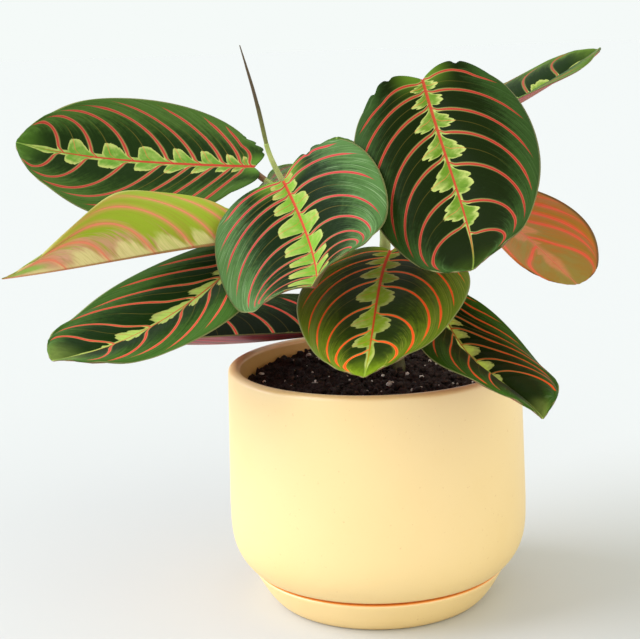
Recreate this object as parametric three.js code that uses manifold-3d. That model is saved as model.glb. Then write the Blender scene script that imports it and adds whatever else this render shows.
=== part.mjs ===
// Potted prayer plant: a maranta with eleven open leaves and one rolled leaf in a round
// ceramic planter that stands on its own saucer.
// Millimetres, +Z up. The origin is the centre of the saucer's underside. The plant's
// front, with the three big hanging leaves, faces -Y.
import * as THREE from 'three';
import { mergeVertices } from 'three/addons/utils/BufferGeometryUtils.js';
import Module from 'manifold-3d';

// Planter
const RIM_RADIUS = 75;             // outside, at the mouth
const BELLY_RADIUS = 77;           // widest, where the wall starts to turn in
const RIM_HEIGHT = 124.5;          // top of the mouth above the table
const BELLY_HEIGHT = 53;
const SEAM_RADIUS = 65.5;          // where the planter meets its saucer
const SEAM_HEIGHT = 18;
const TURN_IN_POWER = 3.7;         // how late the wall turns in below the belly
const WALL = 6;
const LIP_ROUND = 2.4;
const SEAM_GAP = 0.9;
const FLOOR = 7;
const FOOT_OUTER = 50;             // the ring that stands in the saucer
const FOOT_INNER = 40;
const DRAIN_RADIUS = 6;
const LATHE_STEPS = 48;

// Saucer
const SAUCER_BASE_RADIUS = 53;
const SAUCER_POWER = 0.65;         // how early its side rises: below 1 it bulges like a bowl
const SAUCER_FLOOR = 5;
const SAUCER_WALL = 5;

// Soil
const SOIL_LEVEL = 110.5;          // at the wall, halfway back
const SOIL_SLOPE = 7;              // rise towards the back wall
const SOIL_MOUND = 3;              // rise at the middle
const SOIL_LUMP = 0.8;
const SOIL_RINGS = 7;
const SOIL_STEPS = 40;
const HOLE_DEPTH = 14;

// Gaps between neighbours that touch on the real plant
const GAP = 0.35;

// Leaf blades
const BLADE = 0.8;                 // thickness
const BLADE_ROWS = 14;
const BLADE_COLUMNS = 5;           // on each side of the midrib
const ROW_SPACING = 1.35;          // rows stand closer near the leaf's base
const WAVE = 0.9;                  // height of the margin's waves
const WAVES = 3.5;
const BASE_WIDTH_AT = 0.07;        // share of the length where the base lobes are as wide
const LOBE_REACH = 0.06;           // how far the base lobes' effect runs along the midrib

// The side veins leave the midrib and sweep towards the tip; blade rows follow them
const VEIN = { reach: 0.86, start: 0.20, straight: 0.35, power: 2.9, edge: 0.08, edgePower: 12 };

// Each leaf: the base point, where it is fixed to its stalk, then in degrees the heading
// of its midrib from +X towards +Y, its rise and its roll, then length and width in mm.
// droop and hook bend the midrib down, evenly and towards the tip, sweep bends it
// sideways and twist turns the blade along it. fold and cup lift the left and right
// halves, at the midrib and by curving, and curl adds to the cup towards the tip.
// widest is the share of the length at the greatest width, and a low fullness is blunt.
// lobe is how far the two base lobes reach back, and waves turns the margin's waves.
const LEAVES = [
  { name: 'leaf_upper_left', base: [-59, 20, 224], heading: 176, rise: 3, roll: -35,
    length: 124, width: 91, droop: -7, hook: -15, sweep: 4, twist: -14,
    fold: [17, -3], cup: [-30, 0], curl: 33, widest: 0.44, fullness: 0.53, lobe: 0.04, waves: 30 },
  { name: 'leaf_young_folded', base: [-58, -12, 191], heading: 213, rise: 0, roll: 46,
    length: 133, width: 78, droop: 11, hook: -9, sweep: 2, twist: -21,
    fold: [58, 51], cup: [84, 5], curl: -127, widest: 0.34, fullness: 1.27, lobe: 0.05, waves: 109 },
  { name: 'leaf_lower_left', base: [-56, 1, 188], heading: 229, rise: -31, roll: 14,
    length: 132, width: 88, droop: -20, hook: -15, sweep: -7, twist: -3,
    fold: [11, 25], cup: [-32, 0], curl: -17, widest: 0.50, fullness: 0.40, lobe: 0.05, waves: 218 },
  { name: 'leaf_back_left', base: [-12, 26, 136], heading: 168, rise: -11, roll: -10,
    length: 125, width: 84, droop: -12, hook: -4, sweep: -1, twist: 6,
    fold: [20, 23], cup: [6, -8], curl: 9, widest: 0.47, fullness: 0.55, lobe: 0.05, waves: 21 },
  { name: 'leaf_front_left', base: [-42, -15, 220], heading: -62, rise: -39, roll: 28,
    length: 120, width: 96, droop: -42, hook: -21, sweep: -17, twist: 2,
    fold: [53, 16], cup: [-52, -43], curl: -43, widest: 0.34, fullness: 0.39, lobe: 0.01, waves: 75 },
  { name: 'leaf_front_right', base: [27, -15, 267], heading: -78, rise: -43, roll: 43,
    length: 140, width: 87, droop: 1, hook: -41, sweep: 8, twist: 12,
    fold: [-7, 36], cup: [-46, -28], curl: -13, widest: 0.33, fullness: 0.53, lobe: 0.04, waves: 184 },
  { name: 'leaf_front_centre', base: [10, -15, 184], heading: -99, rise: -5, roll: 14,
    length: 127, width: 86, droop: 35, hook: -25, sweep: -1, twist: 3,
    fold: [4, 17], cup: [-44, -30], curl: -57, widest: 0.33, fullness: 0.67, lobe: 0.06, waves: 293 },
  { name: 'leaf_lower_right', base: [32, -12, 162], heading: -79, rise: -38, roll: -21,
    length: 135, width: 60, droop: -72, hook: 48, sweep: -6, twist: 6,
    fold: [50, 29], cup: [-53, -38], curl: -48, widest: 0.45, fullness: 0.62, lobe: 0.05, waves: 64 },
  { name: 'leaf_back_right', base: [42, 32, 213], heading: 44, rise: -26, roll: -8,
    length: 123, width: 83, droop: 20, hook: -5, sweep: -3, twist: -8,
    fold: [-2, -1], cup: [53, 13], curl: -25, widest: 0.46, fullness: 0.51, lobe: 0.05, waves: 151 },
  { name: 'leaf_upper_right', base: [25, 13, 229], heading: 28, rise: 17, roll: -6,
    length: 122, width: 84, droop: -9, hook: -6, sweep: -3, twist: -2,
    fold: [29, 19], cup: [-31, -11], curl: -22, widest: 0.47, fullness: 0.54, lobe: 0.05, waves: 260 },
  { name: 'leaf_back', base: [-37, 21, 225], heading: 75, rise: -17, roll: -14,
    length: 127, width: 80, droop: -35, hook: -10, sweep: 4, twist: 9,
    fold: [-3, -4], cup: [-15, -19], curl: -14, widest: 0.45, fullness: 0.56, lobe: 0.05, waves: 9 },
];

// Stems: the points that each one passes, from its hole in the soil up, and for each leaf
// that it carries, the place on the stem where the leaf's stalk starts and how steeply
// the stalk rises as it reaches the leaf, below 0 where it comes down to it
const STEM_RADIUS = 3.1;
const STEM_TOP_RADIUS = 2.1;
const STALK_RADIUS = 1.9;
const STALK_TOP_RADIUS = 1.2;
const STALK_CLEARANCE = 0.15;      // more room under the blade, for its fold
const STALK_SIDES = 7;
const STALK_STEPS = 11;
const STEMS = [
  { name: 'stem_left', route: [[1, 14, 101], [1, 14, 128], [-1, 13, 150], [-15, 10, 171], [-33, 8, 191], [-41, 8, 207]],
    stalks: [['leaf_lower_left', 0.62, 1], ['leaf_young_folded', 0.97, -0.35], ['leaf_front_left', 0.86, 1],
      ['leaf_upper_left', 0.95, 1], ['leaf_back', 0.78, 1]] },
  { name: 'stem_right', route: [[13, 15, 101], [13, 15, 124], [10, 10, 160], [7, 5, 190], [10, 1, 215]],
    stalks: [['leaf_lower_right', 0.14, 1], ['leaf_front_centre', 0.45, 1], ['leaf_back_right', 0.55, 1],
      ['leaf_upper_right', 0.72, 1], ['leaf_front_right', 0.93, 1]] },
  { name: 'stem_back', route: [[4, 33, 104], [4, 33, 113], [2, 32, 121]],
    stalks: [['leaf_back_left', 0.9, 1]] },
];

// Rolled new leaf: its stalk leaves the left stem, and the rolled blade stands on it
const ROLLED_FOOT = [-51, 4, 236];
const ROLLED_TIP = [-62, 0, 286];
const ROLLED_RADIUS = 1.25;
const ROLLED_TIP_RADIUS = 0.3;
const ROLLED_START = 0.88;         // share of the left stem where its stalk starts
const ROLLED_STEPS = 10;

// Colours
const GLAZE = new THREE.MeshStandardMaterial({ color: 0xf1d596, roughness: 0.6, metalness: 0 });
const EARTH = new THREE.MeshStandardMaterial({ color: 0x1d1410, roughness: 0.95, metalness: 0 });
const DARK_LEAF = new THREE.MeshStandardMaterial({ color: 0x214a22, roughness: 0.45, metalness: 0 });
const YOUNG_LEAF = new THREE.MeshStandardMaterial({ color: 0xb6bf58, roughness: 0.45, metalness: 0 });
const STALK = new THREE.MeshStandardMaterial({ color: 0xa9b063, roughness: 0.5, metalness: 0 });

const manifoldLibrary = await Module();
manifoldLibrary.setup();

const RADIANS = Math.PI / 180;

// Solids: between a closed three.js geometry and a manifold solid
function solidOf(geometry) {
  const bare = geometry.clone();
  bare.deleteAttribute('normal');
  bare.deleteAttribute('uv');
  const merged = mergeVertices(bare, 1e-4);
  const vertProperties = new Float32Array(merged.attributes.position.array);
  const triVerts = new Uint32Array(merged.index.array);
  return new manifoldLibrary.Manifold(new manifoldLibrary.Mesh({ numProp: 3, vertProperties, triVerts }));
}

function geometryOf(solid) {
  const mesh = solid.getMesh();
  const geometry = new THREE.BufferGeometry();
  geometry.setAttribute('position', new THREE.BufferAttribute(new Float32Array(mesh.vertProperties), 3));
  geometry.setIndex(new THREE.BufferAttribute(new Uint32Array(mesh.triVerts), 1));
  geometry.computeVertexNormals();
  return geometry;
}

// A closed geometry from points and triangles, turned so that its faces point out
function closedGeometry(points, triangles) {
  const position = new Float32Array(points.flatMap((point) => point.toArray()));
  let volume = 0;
  for (const [a, b, c] of triangles) {
    volume += points[a].dot(new THREE.Vector3().crossVectors(points[b], points[c]));
  }
  const ordered = volume > 0 ? triangles : triangles.map(([a, b, c]) => [a, c, b]);
  const geometry = new THREE.BufferGeometry();
  geometry.setAttribute('position', new THREE.BufferAttribute(position, 3));
  geometry.setIndex(ordered.flat());
  geometry.computeVertexNormals();
  return geometry;
}

// Planter and saucer: profiles of [radius, height] turned about the Z axis
function outerRadius(height) {
  if (height >= BELLY_HEIGHT) {
    const share = (height - BELLY_HEIGHT) / (RIM_HEIGHT - BELLY_HEIGHT);
    return BELLY_RADIUS + (RIM_RADIUS - BELLY_RADIUS) * share;
  }
  const share = (BELLY_HEIGHT - height) / (BELLY_HEIGHT - SEAM_HEIGHT);
  return BELLY_RADIUS - (BELLY_RADIUS - SEAM_RADIUS) * share ** TURN_IN_POWER;
}

function turned(profile) {
  const points = profile.map(([radius, height]) => new THREE.Vector2(radius, height));
  points.push(points[0].clone());
  const geometry = new THREE.LatheGeometry(points, LATHE_STEPS);
  geometry.rotateX(Math.PI / 2);
  return geometryOf(solidOf(geometry));
}

function potProfile() {
  const bottom = SEAM_HEIGHT + SEAM_GAP / 2;
  const floorTop = bottom + FLOOR;
  const outside = [22, 27, 33, 42, BELLY_HEIGHT, 90, RIM_HEIGHT - LIP_ROUND]
    .map((height) => [outerRadius(height), height]);
  const lip = [45, 90, 135].map((turn) => {
    const middle = RIM_RADIUS - WALL / 2;
    const side = Math.cos(turn * RADIANS) * WALL / 2;
    return [middle + side, RIM_HEIGHT - LIP_ROUND + Math.sin(turn * RADIANS) * LIP_ROUND];
  });
  const inside = [RIM_HEIGHT - LIP_ROUND, 80, BELLY_HEIGHT, 38, floorTop + 3]
    .map((height) => [outerRadius(height) - WALL, height]);
  return [
    [DRAIN_RADIUS, bottom],
    [FOOT_INNER, bottom],
    [FOOT_INNER, SAUCER_FLOOR + GAP],
    [FOOT_OUTER, SAUCER_FLOOR + GAP],
    [FOOT_OUTER, bottom],
    [SEAM_RADIUS - 1.2, bottom],
    [SEAM_RADIUS, bottom + 1],
    ...outside,
    ...lip,
    ...inside,
    [outerRadius(floorTop) - WALL - 3, floorTop],
    [DRAIN_RADIUS, floorTop],
  ];
}

function saucerProfile() {
  const top = SEAM_HEIGHT - SEAM_GAP / 2;
  const rise = [0.06, 0.2, 0.42, 0.7].map((share) => [
    SAUCER_BASE_RADIUS + (SEAM_RADIUS - SAUCER_BASE_RADIUS) * share ** SAUCER_POWER,
    (top - 1) * share,
  ]);
  return [
    [0, 0],
    [SAUCER_BASE_RADIUS, 0],
    ...rise,
    [SEAM_RADIUS, top - 1],
    [SEAM_RADIUS - 1, top],
    [SEAM_RADIUS - SAUCER_WALL, top],
    [SEAM_RADIUS - SAUCER_WALL - 2, top - 4],
    [FOOT_OUTER + 4, SAUCER_FLOOR],
    [0, SAUCER_FLOOR],
  ];
}

// Soil: a filled body with a lumpy, sloping top, and a plain hole for each stem
function soilTop(x, y) {
  const radius = RIM_RADIUS - WALL;
  const share = Math.min(1, Math.hypot(x, y) / radius);
  const lumps = Math.sin(x * 0.31 + 1) * Math.sin(y * 0.27) + 0.6 * Math.sin(x * 0.62 - y * 0.49);
  return SOIL_LEVEL + SOIL_SLOPE * y / radius + SOIL_MOUND * (1 - share * share) + SOIL_LUMP * lumps;
}

function soilGeometry() {
  const base = SEAM_HEIGHT + SEAM_GAP / 2 + FLOOR + GAP;
  const levels = [[base, 4], [base + 3, 0], [38, 0], [BELLY_HEIGHT, 0], [80, 0]];
  const points = [new THREE.Vector3(0, 0, base)];
  const rings = [];
  const ring = (place) => {
    const first = points.length;
    for (let step = 0; step < SOIL_STEPS; step += 1) {
      points.push(place(step / SOIL_STEPS * 2 * Math.PI));
    }
    rings.push(first);
  };
  for (const [height, inset] of levels) {
    const radius = outerRadius(height) - WALL - GAP - 0.2 - inset;
    ring((turn) => new THREE.Vector3(radius * Math.cos(turn), radius * Math.sin(turn), height));
  }
  for (let index = SOIL_RINGS; index > 0; index -= 1) {
    const radius = (outerRadius(SOIL_LEVEL) - WALL - GAP - 0.2) * index / SOIL_RINGS;
    ring((turn) => {
      const [x, y] = [radius * Math.cos(turn), radius * Math.sin(turn)];
      return new THREE.Vector3(x, y, soilTop(x, y));
    });
  }
  points.push(new THREE.Vector3(0, 0, soilTop(0, 0)));
  const triangles = [];
  for (let step = 0; step < SOIL_STEPS; step += 1) {
    const next = (step + 1) % SOIL_STEPS;
    triangles.push([0, rings[0] + next, rings[0] + step]);
    for (let level = 0; level + 1 < rings.length; level += 1) {
      const [low, high] = [rings[level], rings[level + 1]];
      triangles.push([low + step, low + next, high + next], [low + step, high + next, high + step]);
    }
    const last = rings[rings.length - 1];
    triangles.push([last + step, last + next, points.length - 1]);
  }
  let soil = solidOf(closedGeometry(points, triangles));
  for (const stem of STEMS) {
    const [x, y, z] = stem.route[0];
    const hole = new THREE.CylinderGeometry(STEM_RADIUS + 1, STEM_RADIUS + 1, 2 * HOLE_DEPTH + 20, 12);
    hole.rotateX(Math.PI / 2);
    hole.translate(x, y, z - GAP + HOLE_DEPTH + 10);
    soil = soil.subtract(solidOf(hole));
  }
  return geometryOf(soil);
}

// Leaf blade: a place on the blade from the row it is in, 0 at the base and 1 at the tip,
// and its share of the half width, -1 at the right margin and 1 at the left
function lengthShare(leaf, row, side) {
  const g = Math.abs(side);
  const spread = (1 - row) * (1 - Math.exp(-row / VEIN.start));
  const lean = VEIN.straight * g + (1 - VEIN.straight) * g ** VEIN.power;
  const lobes = BASE_WIDTH_AT * g ** 3 - leaf.lobe * Math.sin(Math.PI * g);
  return row + VEIN.reach * spread * lean + VEIN.edge * spread * g ** VEIN.edgePower
    + lobes * Math.exp(-row / LOBE_REACH);
}

function halfWidth(leaf, share) {
  const x = Math.min(1, Math.max(BASE_WIDTH_AT, share));
  const turn = Math.PI * x ** (Math.log(0.5) / Math.log(leaf.widest));
  const tip = 1 - 0.4 * Math.exp(-(1 - x) / 0.03);
  return leaf.width / 2 * Math.max(0, Math.sin(turn)) ** leaf.fullness * tip;
}

function midribDirection(leaf, share) {
  const down = (leaf.droop * share + leaf.hook * share ** 3) * RADIANS;
  const aside = leaf.sweep * share * RADIANS;
  return new THREE.Vector3(
    Math.cos(down) * Math.cos(aside),
    Math.cos(down) * Math.sin(aside),
    -Math.sin(down),
  );
}

function midribPoint(leaf, share) {
  const steps = 24;
  const point = new THREE.Vector3();
  for (let step = 0; step < steps; step += 1) {
    point.addScaledVector(midribDirection(leaf, share * (step + 0.5) / steps), leaf.length * share / steps);
  }
  return point;
}

// The leaf's own axes at its base: along the midrib, to the left, and out of its upper face
function leafAxes(leaf) {
  const heading = leaf.heading * RADIANS;
  const rise = leaf.rise * RADIANS;
  const along = new THREE.Vector3(
    Math.cos(rise) * Math.cos(heading),
    Math.cos(rise) * Math.sin(heading),
    Math.sin(rise),
  );
  const left = new THREE.Vector3(-Math.sin(heading), Math.cos(heading), 0);
  left.applyAxisAngle(along, leaf.roll * RADIANS);
  return { along, left, up: new THREE.Vector3().crossVectors(along, left) };
}

function bladePoint(leaf, row, side) {
  const share = lengthShare(leaf, row, side);
  const half = leaf.width / 2;
  const which = side >= 0 ? 0 : 1;
  const arc = halfWidth(leaf, share) * Math.abs(side);
  const fold = leaf.fold[which] * RADIANS;
  const curl = leaf.curl * Math.max(0, share) ** 2;
  const cup = (leaf.cup[which] + curl || 0.001) * RADIANS;
  const turn = fold + cup * arc / half;
  const across = (Math.sin(turn) - Math.sin(fold)) / cup * half;
  const lifted = (Math.cos(fold) - Math.cos(turn)) / cup * half;
  const along = midribDirection(leaf, share);
  const aside = leaf.sweep * share * RADIANS;
  const left = new THREE.Vector3(-Math.sin(aside), Math.cos(aside), 0);
  left.applyAxisAngle(along, leaf.twist * share * RADIANS);
  const up = new THREE.Vector3().crossVectors(along, left);
  const point = midribPoint(leaf, share);
  point.addScaledVector(left, across * (which === 0 ? 1 : -1));
  const phase = leaf.waves * RADIANS + which;
  const wave = WAVE * Math.abs(side) ** 3 * Math.sin(2 * Math.PI * WAVES * row + phase) * (1 - row);
  point.addScaledVector(up, lifted + wave);
  const axes = leafAxes(leaf);
  return new THREE.Vector3(...leaf.base)
    .addScaledVector(axes.along, point.x)
    .addScaledVector(axes.left, point.y)
    .addScaledVector(axes.up, point.z);
}

function bladeNormal(leaf, row, side) {
  const step = 0.02;
  const at = Math.min(row, 0.97);
  const along = bladePoint(leaf, at + step, side).sub(bladePoint(leaf, at, side));
  const low = Math.max(-1, side - step);
  const high = Math.min(1, side + step);
  const across = bladePoint(leaf, at, high).sub(bladePoint(leaf, at, low));
  return along.cross(across).normalize();
}

function bladeGeometry(leaf) {
  const width = 2 * BLADE_COLUMNS;
  const upper = [];
  const lower = [];
  const add = (row, side) => {
    const point = bladePoint(leaf, row, side);
    const normal = bladeNormal(leaf, row, side);
    upper.push(point.clone().addScaledVector(normal, BLADE / 2));
    lower.push(point.clone().addScaledVector(normal, -BLADE / 2));
  };
  for (let row = 0; row < BLADE_ROWS; row += 1) {
    for (let column = 0; column <= width; column += 1) {
      add((row / BLADE_ROWS) ** ROW_SPACING, column / BLADE_COLUMNS - 1);
    }
  }
  add(1, 0);
  const count = upper.length;
  const index = (row, column) => row * (width + 1) + column;
  const face = [];
  for (let row = 0; row + 1 < BLADE_ROWS; row += 1) {
    for (let column = 0; column < width; column += 1) {
      const corners = [index(row, column), index(row, column + 1), index(row + 1, column + 1), index(row + 1, column)];
      const [a, b, c, d] = corners;
      const first = upper[a].distanceTo(upper[c]) + lower[a].distanceTo(lower[c]);
      const second = upper[b].distanceTo(upper[d]) + lower[b].distanceTo(lower[d]);
      if (first < second) {
        face.push([a, b, c], [a, c, d]);
      } else {
        face.push([a, b, d], [b, c, d]);
      }
    }
  }
  const lastRow = BLADE_ROWS - 1;
  for (let column = 0; column < width; column += 1) {
    face.push([index(lastRow, column), index(lastRow, column + 1), count - 1]);
  }
  const outline = [];
  for (let column = 0; column < width; column += 1) outline.push(index(0, column));
  for (let row = 0; row < BLADE_ROWS; row += 1) outline.push(index(row, width));
  outline.push(count - 1);
  for (let row = lastRow; row > 0; row -= 1) outline.push(index(row, 0));
  const rim = outline.flatMap((from, place) => {
    const to = outline[(place + 1) % outline.length];
    return [[to, from, count + from], [to, count + from, count + to]];
  });
  const underside = face.map(([a, b, c]) => [count + a, count + c, count + b]);
  return closedGeometry([...upper, ...lower], [...face, ...underside, ...rim]);
}

// Tube: a closed round body along a curve, thinner towards its end
function tubeGeometry(curve, startRadius, endRadius, steps) {
  const frames = curve.computeFrenetFrames(steps, false);
  const points = [];
  for (let step = 0; step <= steps; step += 1) {
    const centre = curve.getPointAt(step / steps);
    const radius = startRadius + (endRadius - startRadius) * step / steps;
    for (let side = 0; side < STALK_SIDES; side += 1) {
      const turn = side / STALK_SIDES * 2 * Math.PI;
      points.push(centre.clone()
        .addScaledVector(frames.normals[step], radius * Math.cos(turn))
        .addScaledVector(frames.binormals[step], radius * Math.sin(turn)));
    }
  }
  points.push(curve.getPointAt(0), curve.getPointAt(1));
  const triangles = [];
  for (let side = 0; side < STALK_SIDES; side += 1) {
    const next = (side + 1) % STALK_SIDES;
    for (let step = 0; step < steps; step += 1) {
      const low = step * STALK_SIDES;
      const high = low + STALK_SIDES;
      triangles.push([low + side, low + next, high + next], [low + side, high + next, high + side]);
    }
    triangles.push([points.length - 2, next, side]);
    triangles.push([points.length - 1, steps * STALK_SIDES + side, steps * STALK_SIDES + next]);
  }
  return closedGeometry(points, triangles);
}

// The leaf's stalk rises from the stem, bends over and ends just under the leaf's base
function stalkCurve(leaf, start, rise) {
  const axes = leafAxes(leaf);
  const arrive = new THREE.Vector3(0, 0, 0.5 * rise)
    .addScaledVector(axes.along, 0.6)
    .addScaledVector(axes.up, 0.75 * rise)
    .normalize();
  const slant = Math.sqrt(Math.max(0, 1 - arrive.dot(axes.up) ** 2));
  const below = BLADE / 2 + GAP + STALK_CLEARANCE + STALK_TOP_RADIUS * slant;
  const end = new THREE.Vector3(...leaf.base).addScaledVector(axes.up, -below);
  const reach = end.distanceTo(start);
  const leave = start.clone().addScaledVector(new THREE.Vector3(0, 0, 1), reach * Math.max(0.1, 0.4 * rise));
  const arriveFrom = end.clone().addScaledVector(arrive, -reach * 0.35);
  return new THREE.CubicBezierCurve3(start, leave, arriveFrom, end);
}

function rolledStalkCurve(start) {
  const foot = new THREE.Vector3(...ROLLED_FOOT);
  const along = new THREE.Vector3(...ROLLED_TIP).sub(foot).normalize();
  const end = foot.addScaledVector(along, -GAP);
  const reach = end.distanceTo(start);
  const leave = start.clone().add(new THREE.Vector3(0, 0, reach * 0.3));
  return new THREE.CubicBezierCurve3(start, leave, end.clone().addScaledVector(along, -reach * 0.4), end);
}

function stemGeometry(stem) {
  const curve = new THREE.CatmullRomCurve3(stem.route.map((point) => new THREE.Vector3(...point)));
  let solid = solidOf(tubeGeometry(curve, STEM_RADIUS, STEM_TOP_RADIUS, STALK_STEPS));
  for (const [name, place, rise] of stem.stalks) {
    const leaf = LEAVES.find((candidate) => candidate.name === name);
    const stalk = stalkCurve(leaf, curve.getPointAt(place), rise);
    solid = solid.add(solidOf(tubeGeometry(stalk, STALK_RADIUS, STALK_TOP_RADIUS, STALK_STEPS)));
  }
  if (stem.name === 'stem_left') {
    const stalk = rolledStalkCurve(curve.getPointAt(ROLLED_START));
    solid = solid.add(solidOf(tubeGeometry(stalk, STALK_RADIUS, STALK_TOP_RADIUS, STALK_STEPS)));
  }
  return geometryOf(solid);
}

function rolledLeafGeometry() {
  const foot = new THREE.Vector3(...ROLLED_FOOT);
  const tip = new THREE.Vector3(...ROLLED_TIP);
  const middle = foot.clone().lerp(tip, 0.5).add(new THREE.Vector3(0.8, 0, 0));
  const curve = new THREE.QuadraticBezierCurve3(foot, middle, tip);
  return tubeGeometry(curve, ROLLED_RADIUS, ROLLED_TIP_RADIUS, ROLLED_STEPS);
}

// Assembly
const plant = new THREE.Group();

function place(name, geometry, material) {
  const mesh = new THREE.Mesh(geometry, material);
  mesh.name = name;
  plant.add(mesh);
}

place('saucer', turned(saucerProfile()), GLAZE);
place('pot', turned(potProfile()), GLAZE);
place('soil', soilGeometry(), EARTH);
for (const stem of STEMS) {
  place(stem.name, stemGeometry(stem), STALK);
}
for (const leaf of LEAVES) {
  place(leaf.name, bladeGeometry(leaf), leaf.name === 'leaf_young_folded' ? YOUNG_LEAF : DARK_LEAF);
}
place('leaf_rolled', rolledLeafGeometry(), YOUNG_LEAF);

export default plant;
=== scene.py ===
"""Potted prayer plant: the finished leaves, stalks, soil and ceramic around the fixed frame."""
import math
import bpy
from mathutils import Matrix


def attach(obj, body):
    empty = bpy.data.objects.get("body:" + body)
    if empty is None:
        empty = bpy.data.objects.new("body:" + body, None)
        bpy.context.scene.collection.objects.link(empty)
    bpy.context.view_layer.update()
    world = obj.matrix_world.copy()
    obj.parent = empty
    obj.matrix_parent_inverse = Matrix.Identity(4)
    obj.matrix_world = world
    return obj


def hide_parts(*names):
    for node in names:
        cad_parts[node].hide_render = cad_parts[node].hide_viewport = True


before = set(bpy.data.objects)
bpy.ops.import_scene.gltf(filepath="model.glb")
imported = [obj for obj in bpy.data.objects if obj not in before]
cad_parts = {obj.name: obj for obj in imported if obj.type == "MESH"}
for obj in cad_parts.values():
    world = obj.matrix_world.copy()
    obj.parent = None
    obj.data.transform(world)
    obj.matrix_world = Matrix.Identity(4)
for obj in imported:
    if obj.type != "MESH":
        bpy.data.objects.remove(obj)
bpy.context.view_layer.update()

from types import SimpleNamespace

import bpy
import numpy as np
from mathutils import Euler, Matrix, Vector

bl_info = {
    "name": "Potted Prayer Plant",
    "version": (1, 0, 0),
    "blender": (4, 5, 0),
    "location": "View3D > Sidebar > Prayer Plant",
    "description": "Makes the leaves, stalks, soil, pot and stage of a potted prayer plant",
    "category": "Add Mesh",
}

MM = 0.001
BODY = "root"

# How the side veins sweep from the midrib to the margin, in shares of the length. The blade's
# rows follow them.
VEIN_REACH = 0.86
VEIN_START = 0.20  # the sweep sets in over this share, from the base on
VEIN_STRAIGHT = 0.35  # this share of the sweep is even, and the rest grows with the power
VEIN_POWER = 2.9
VEIN_EDGE = 0.08  # a last turn towards the tip, close to the margin
VEIN_EDGE_POWER = 12

# The blade's outline and waves
BASE_WIDTH_AT = 0.07  # the base is as wide as the outline is at this share of the length
LOBE_REACH = 0.06
NICK_WIDTH = 0.045
NICK_REACH = 0.007
TIP_NARROWING = 0.4  # the tip loses this share of its width, over this reach
TIP_REACH = 0.03
WAVE = 0.9  # height of the margin's waves in mm
WAVES = 3.5  # how many of them there are along a blade

# The blade's grid and relief
BLADE_ROWS = 170
HALF_COLUMNS = 34
ROW_SPACING = 1.35  # a power above 1 crowds the rows at the base
MIDRIB_TABLE = np.linspace(-0.15, 1, 461)  # where the midrib is summed: base lobes lie behind 0
SWELL_POWER = 0.8
GROOVE_DEPTH = 0.5  # in mm, as the next two are
GROOVE_WIDTH = 1.5
EDGE_ROUND = 0.6

# Where the side veins leave the midrib, as shares of the blade's length
USUAL_LEFT = (0.02, 0.07, 0.15, 0.26, 0.42, 0.60, 0.77)
USUAL_RIGHT = (0.03, 0.10, 0.19, 0.33, 0.50, 0.68, 0.84)

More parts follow.
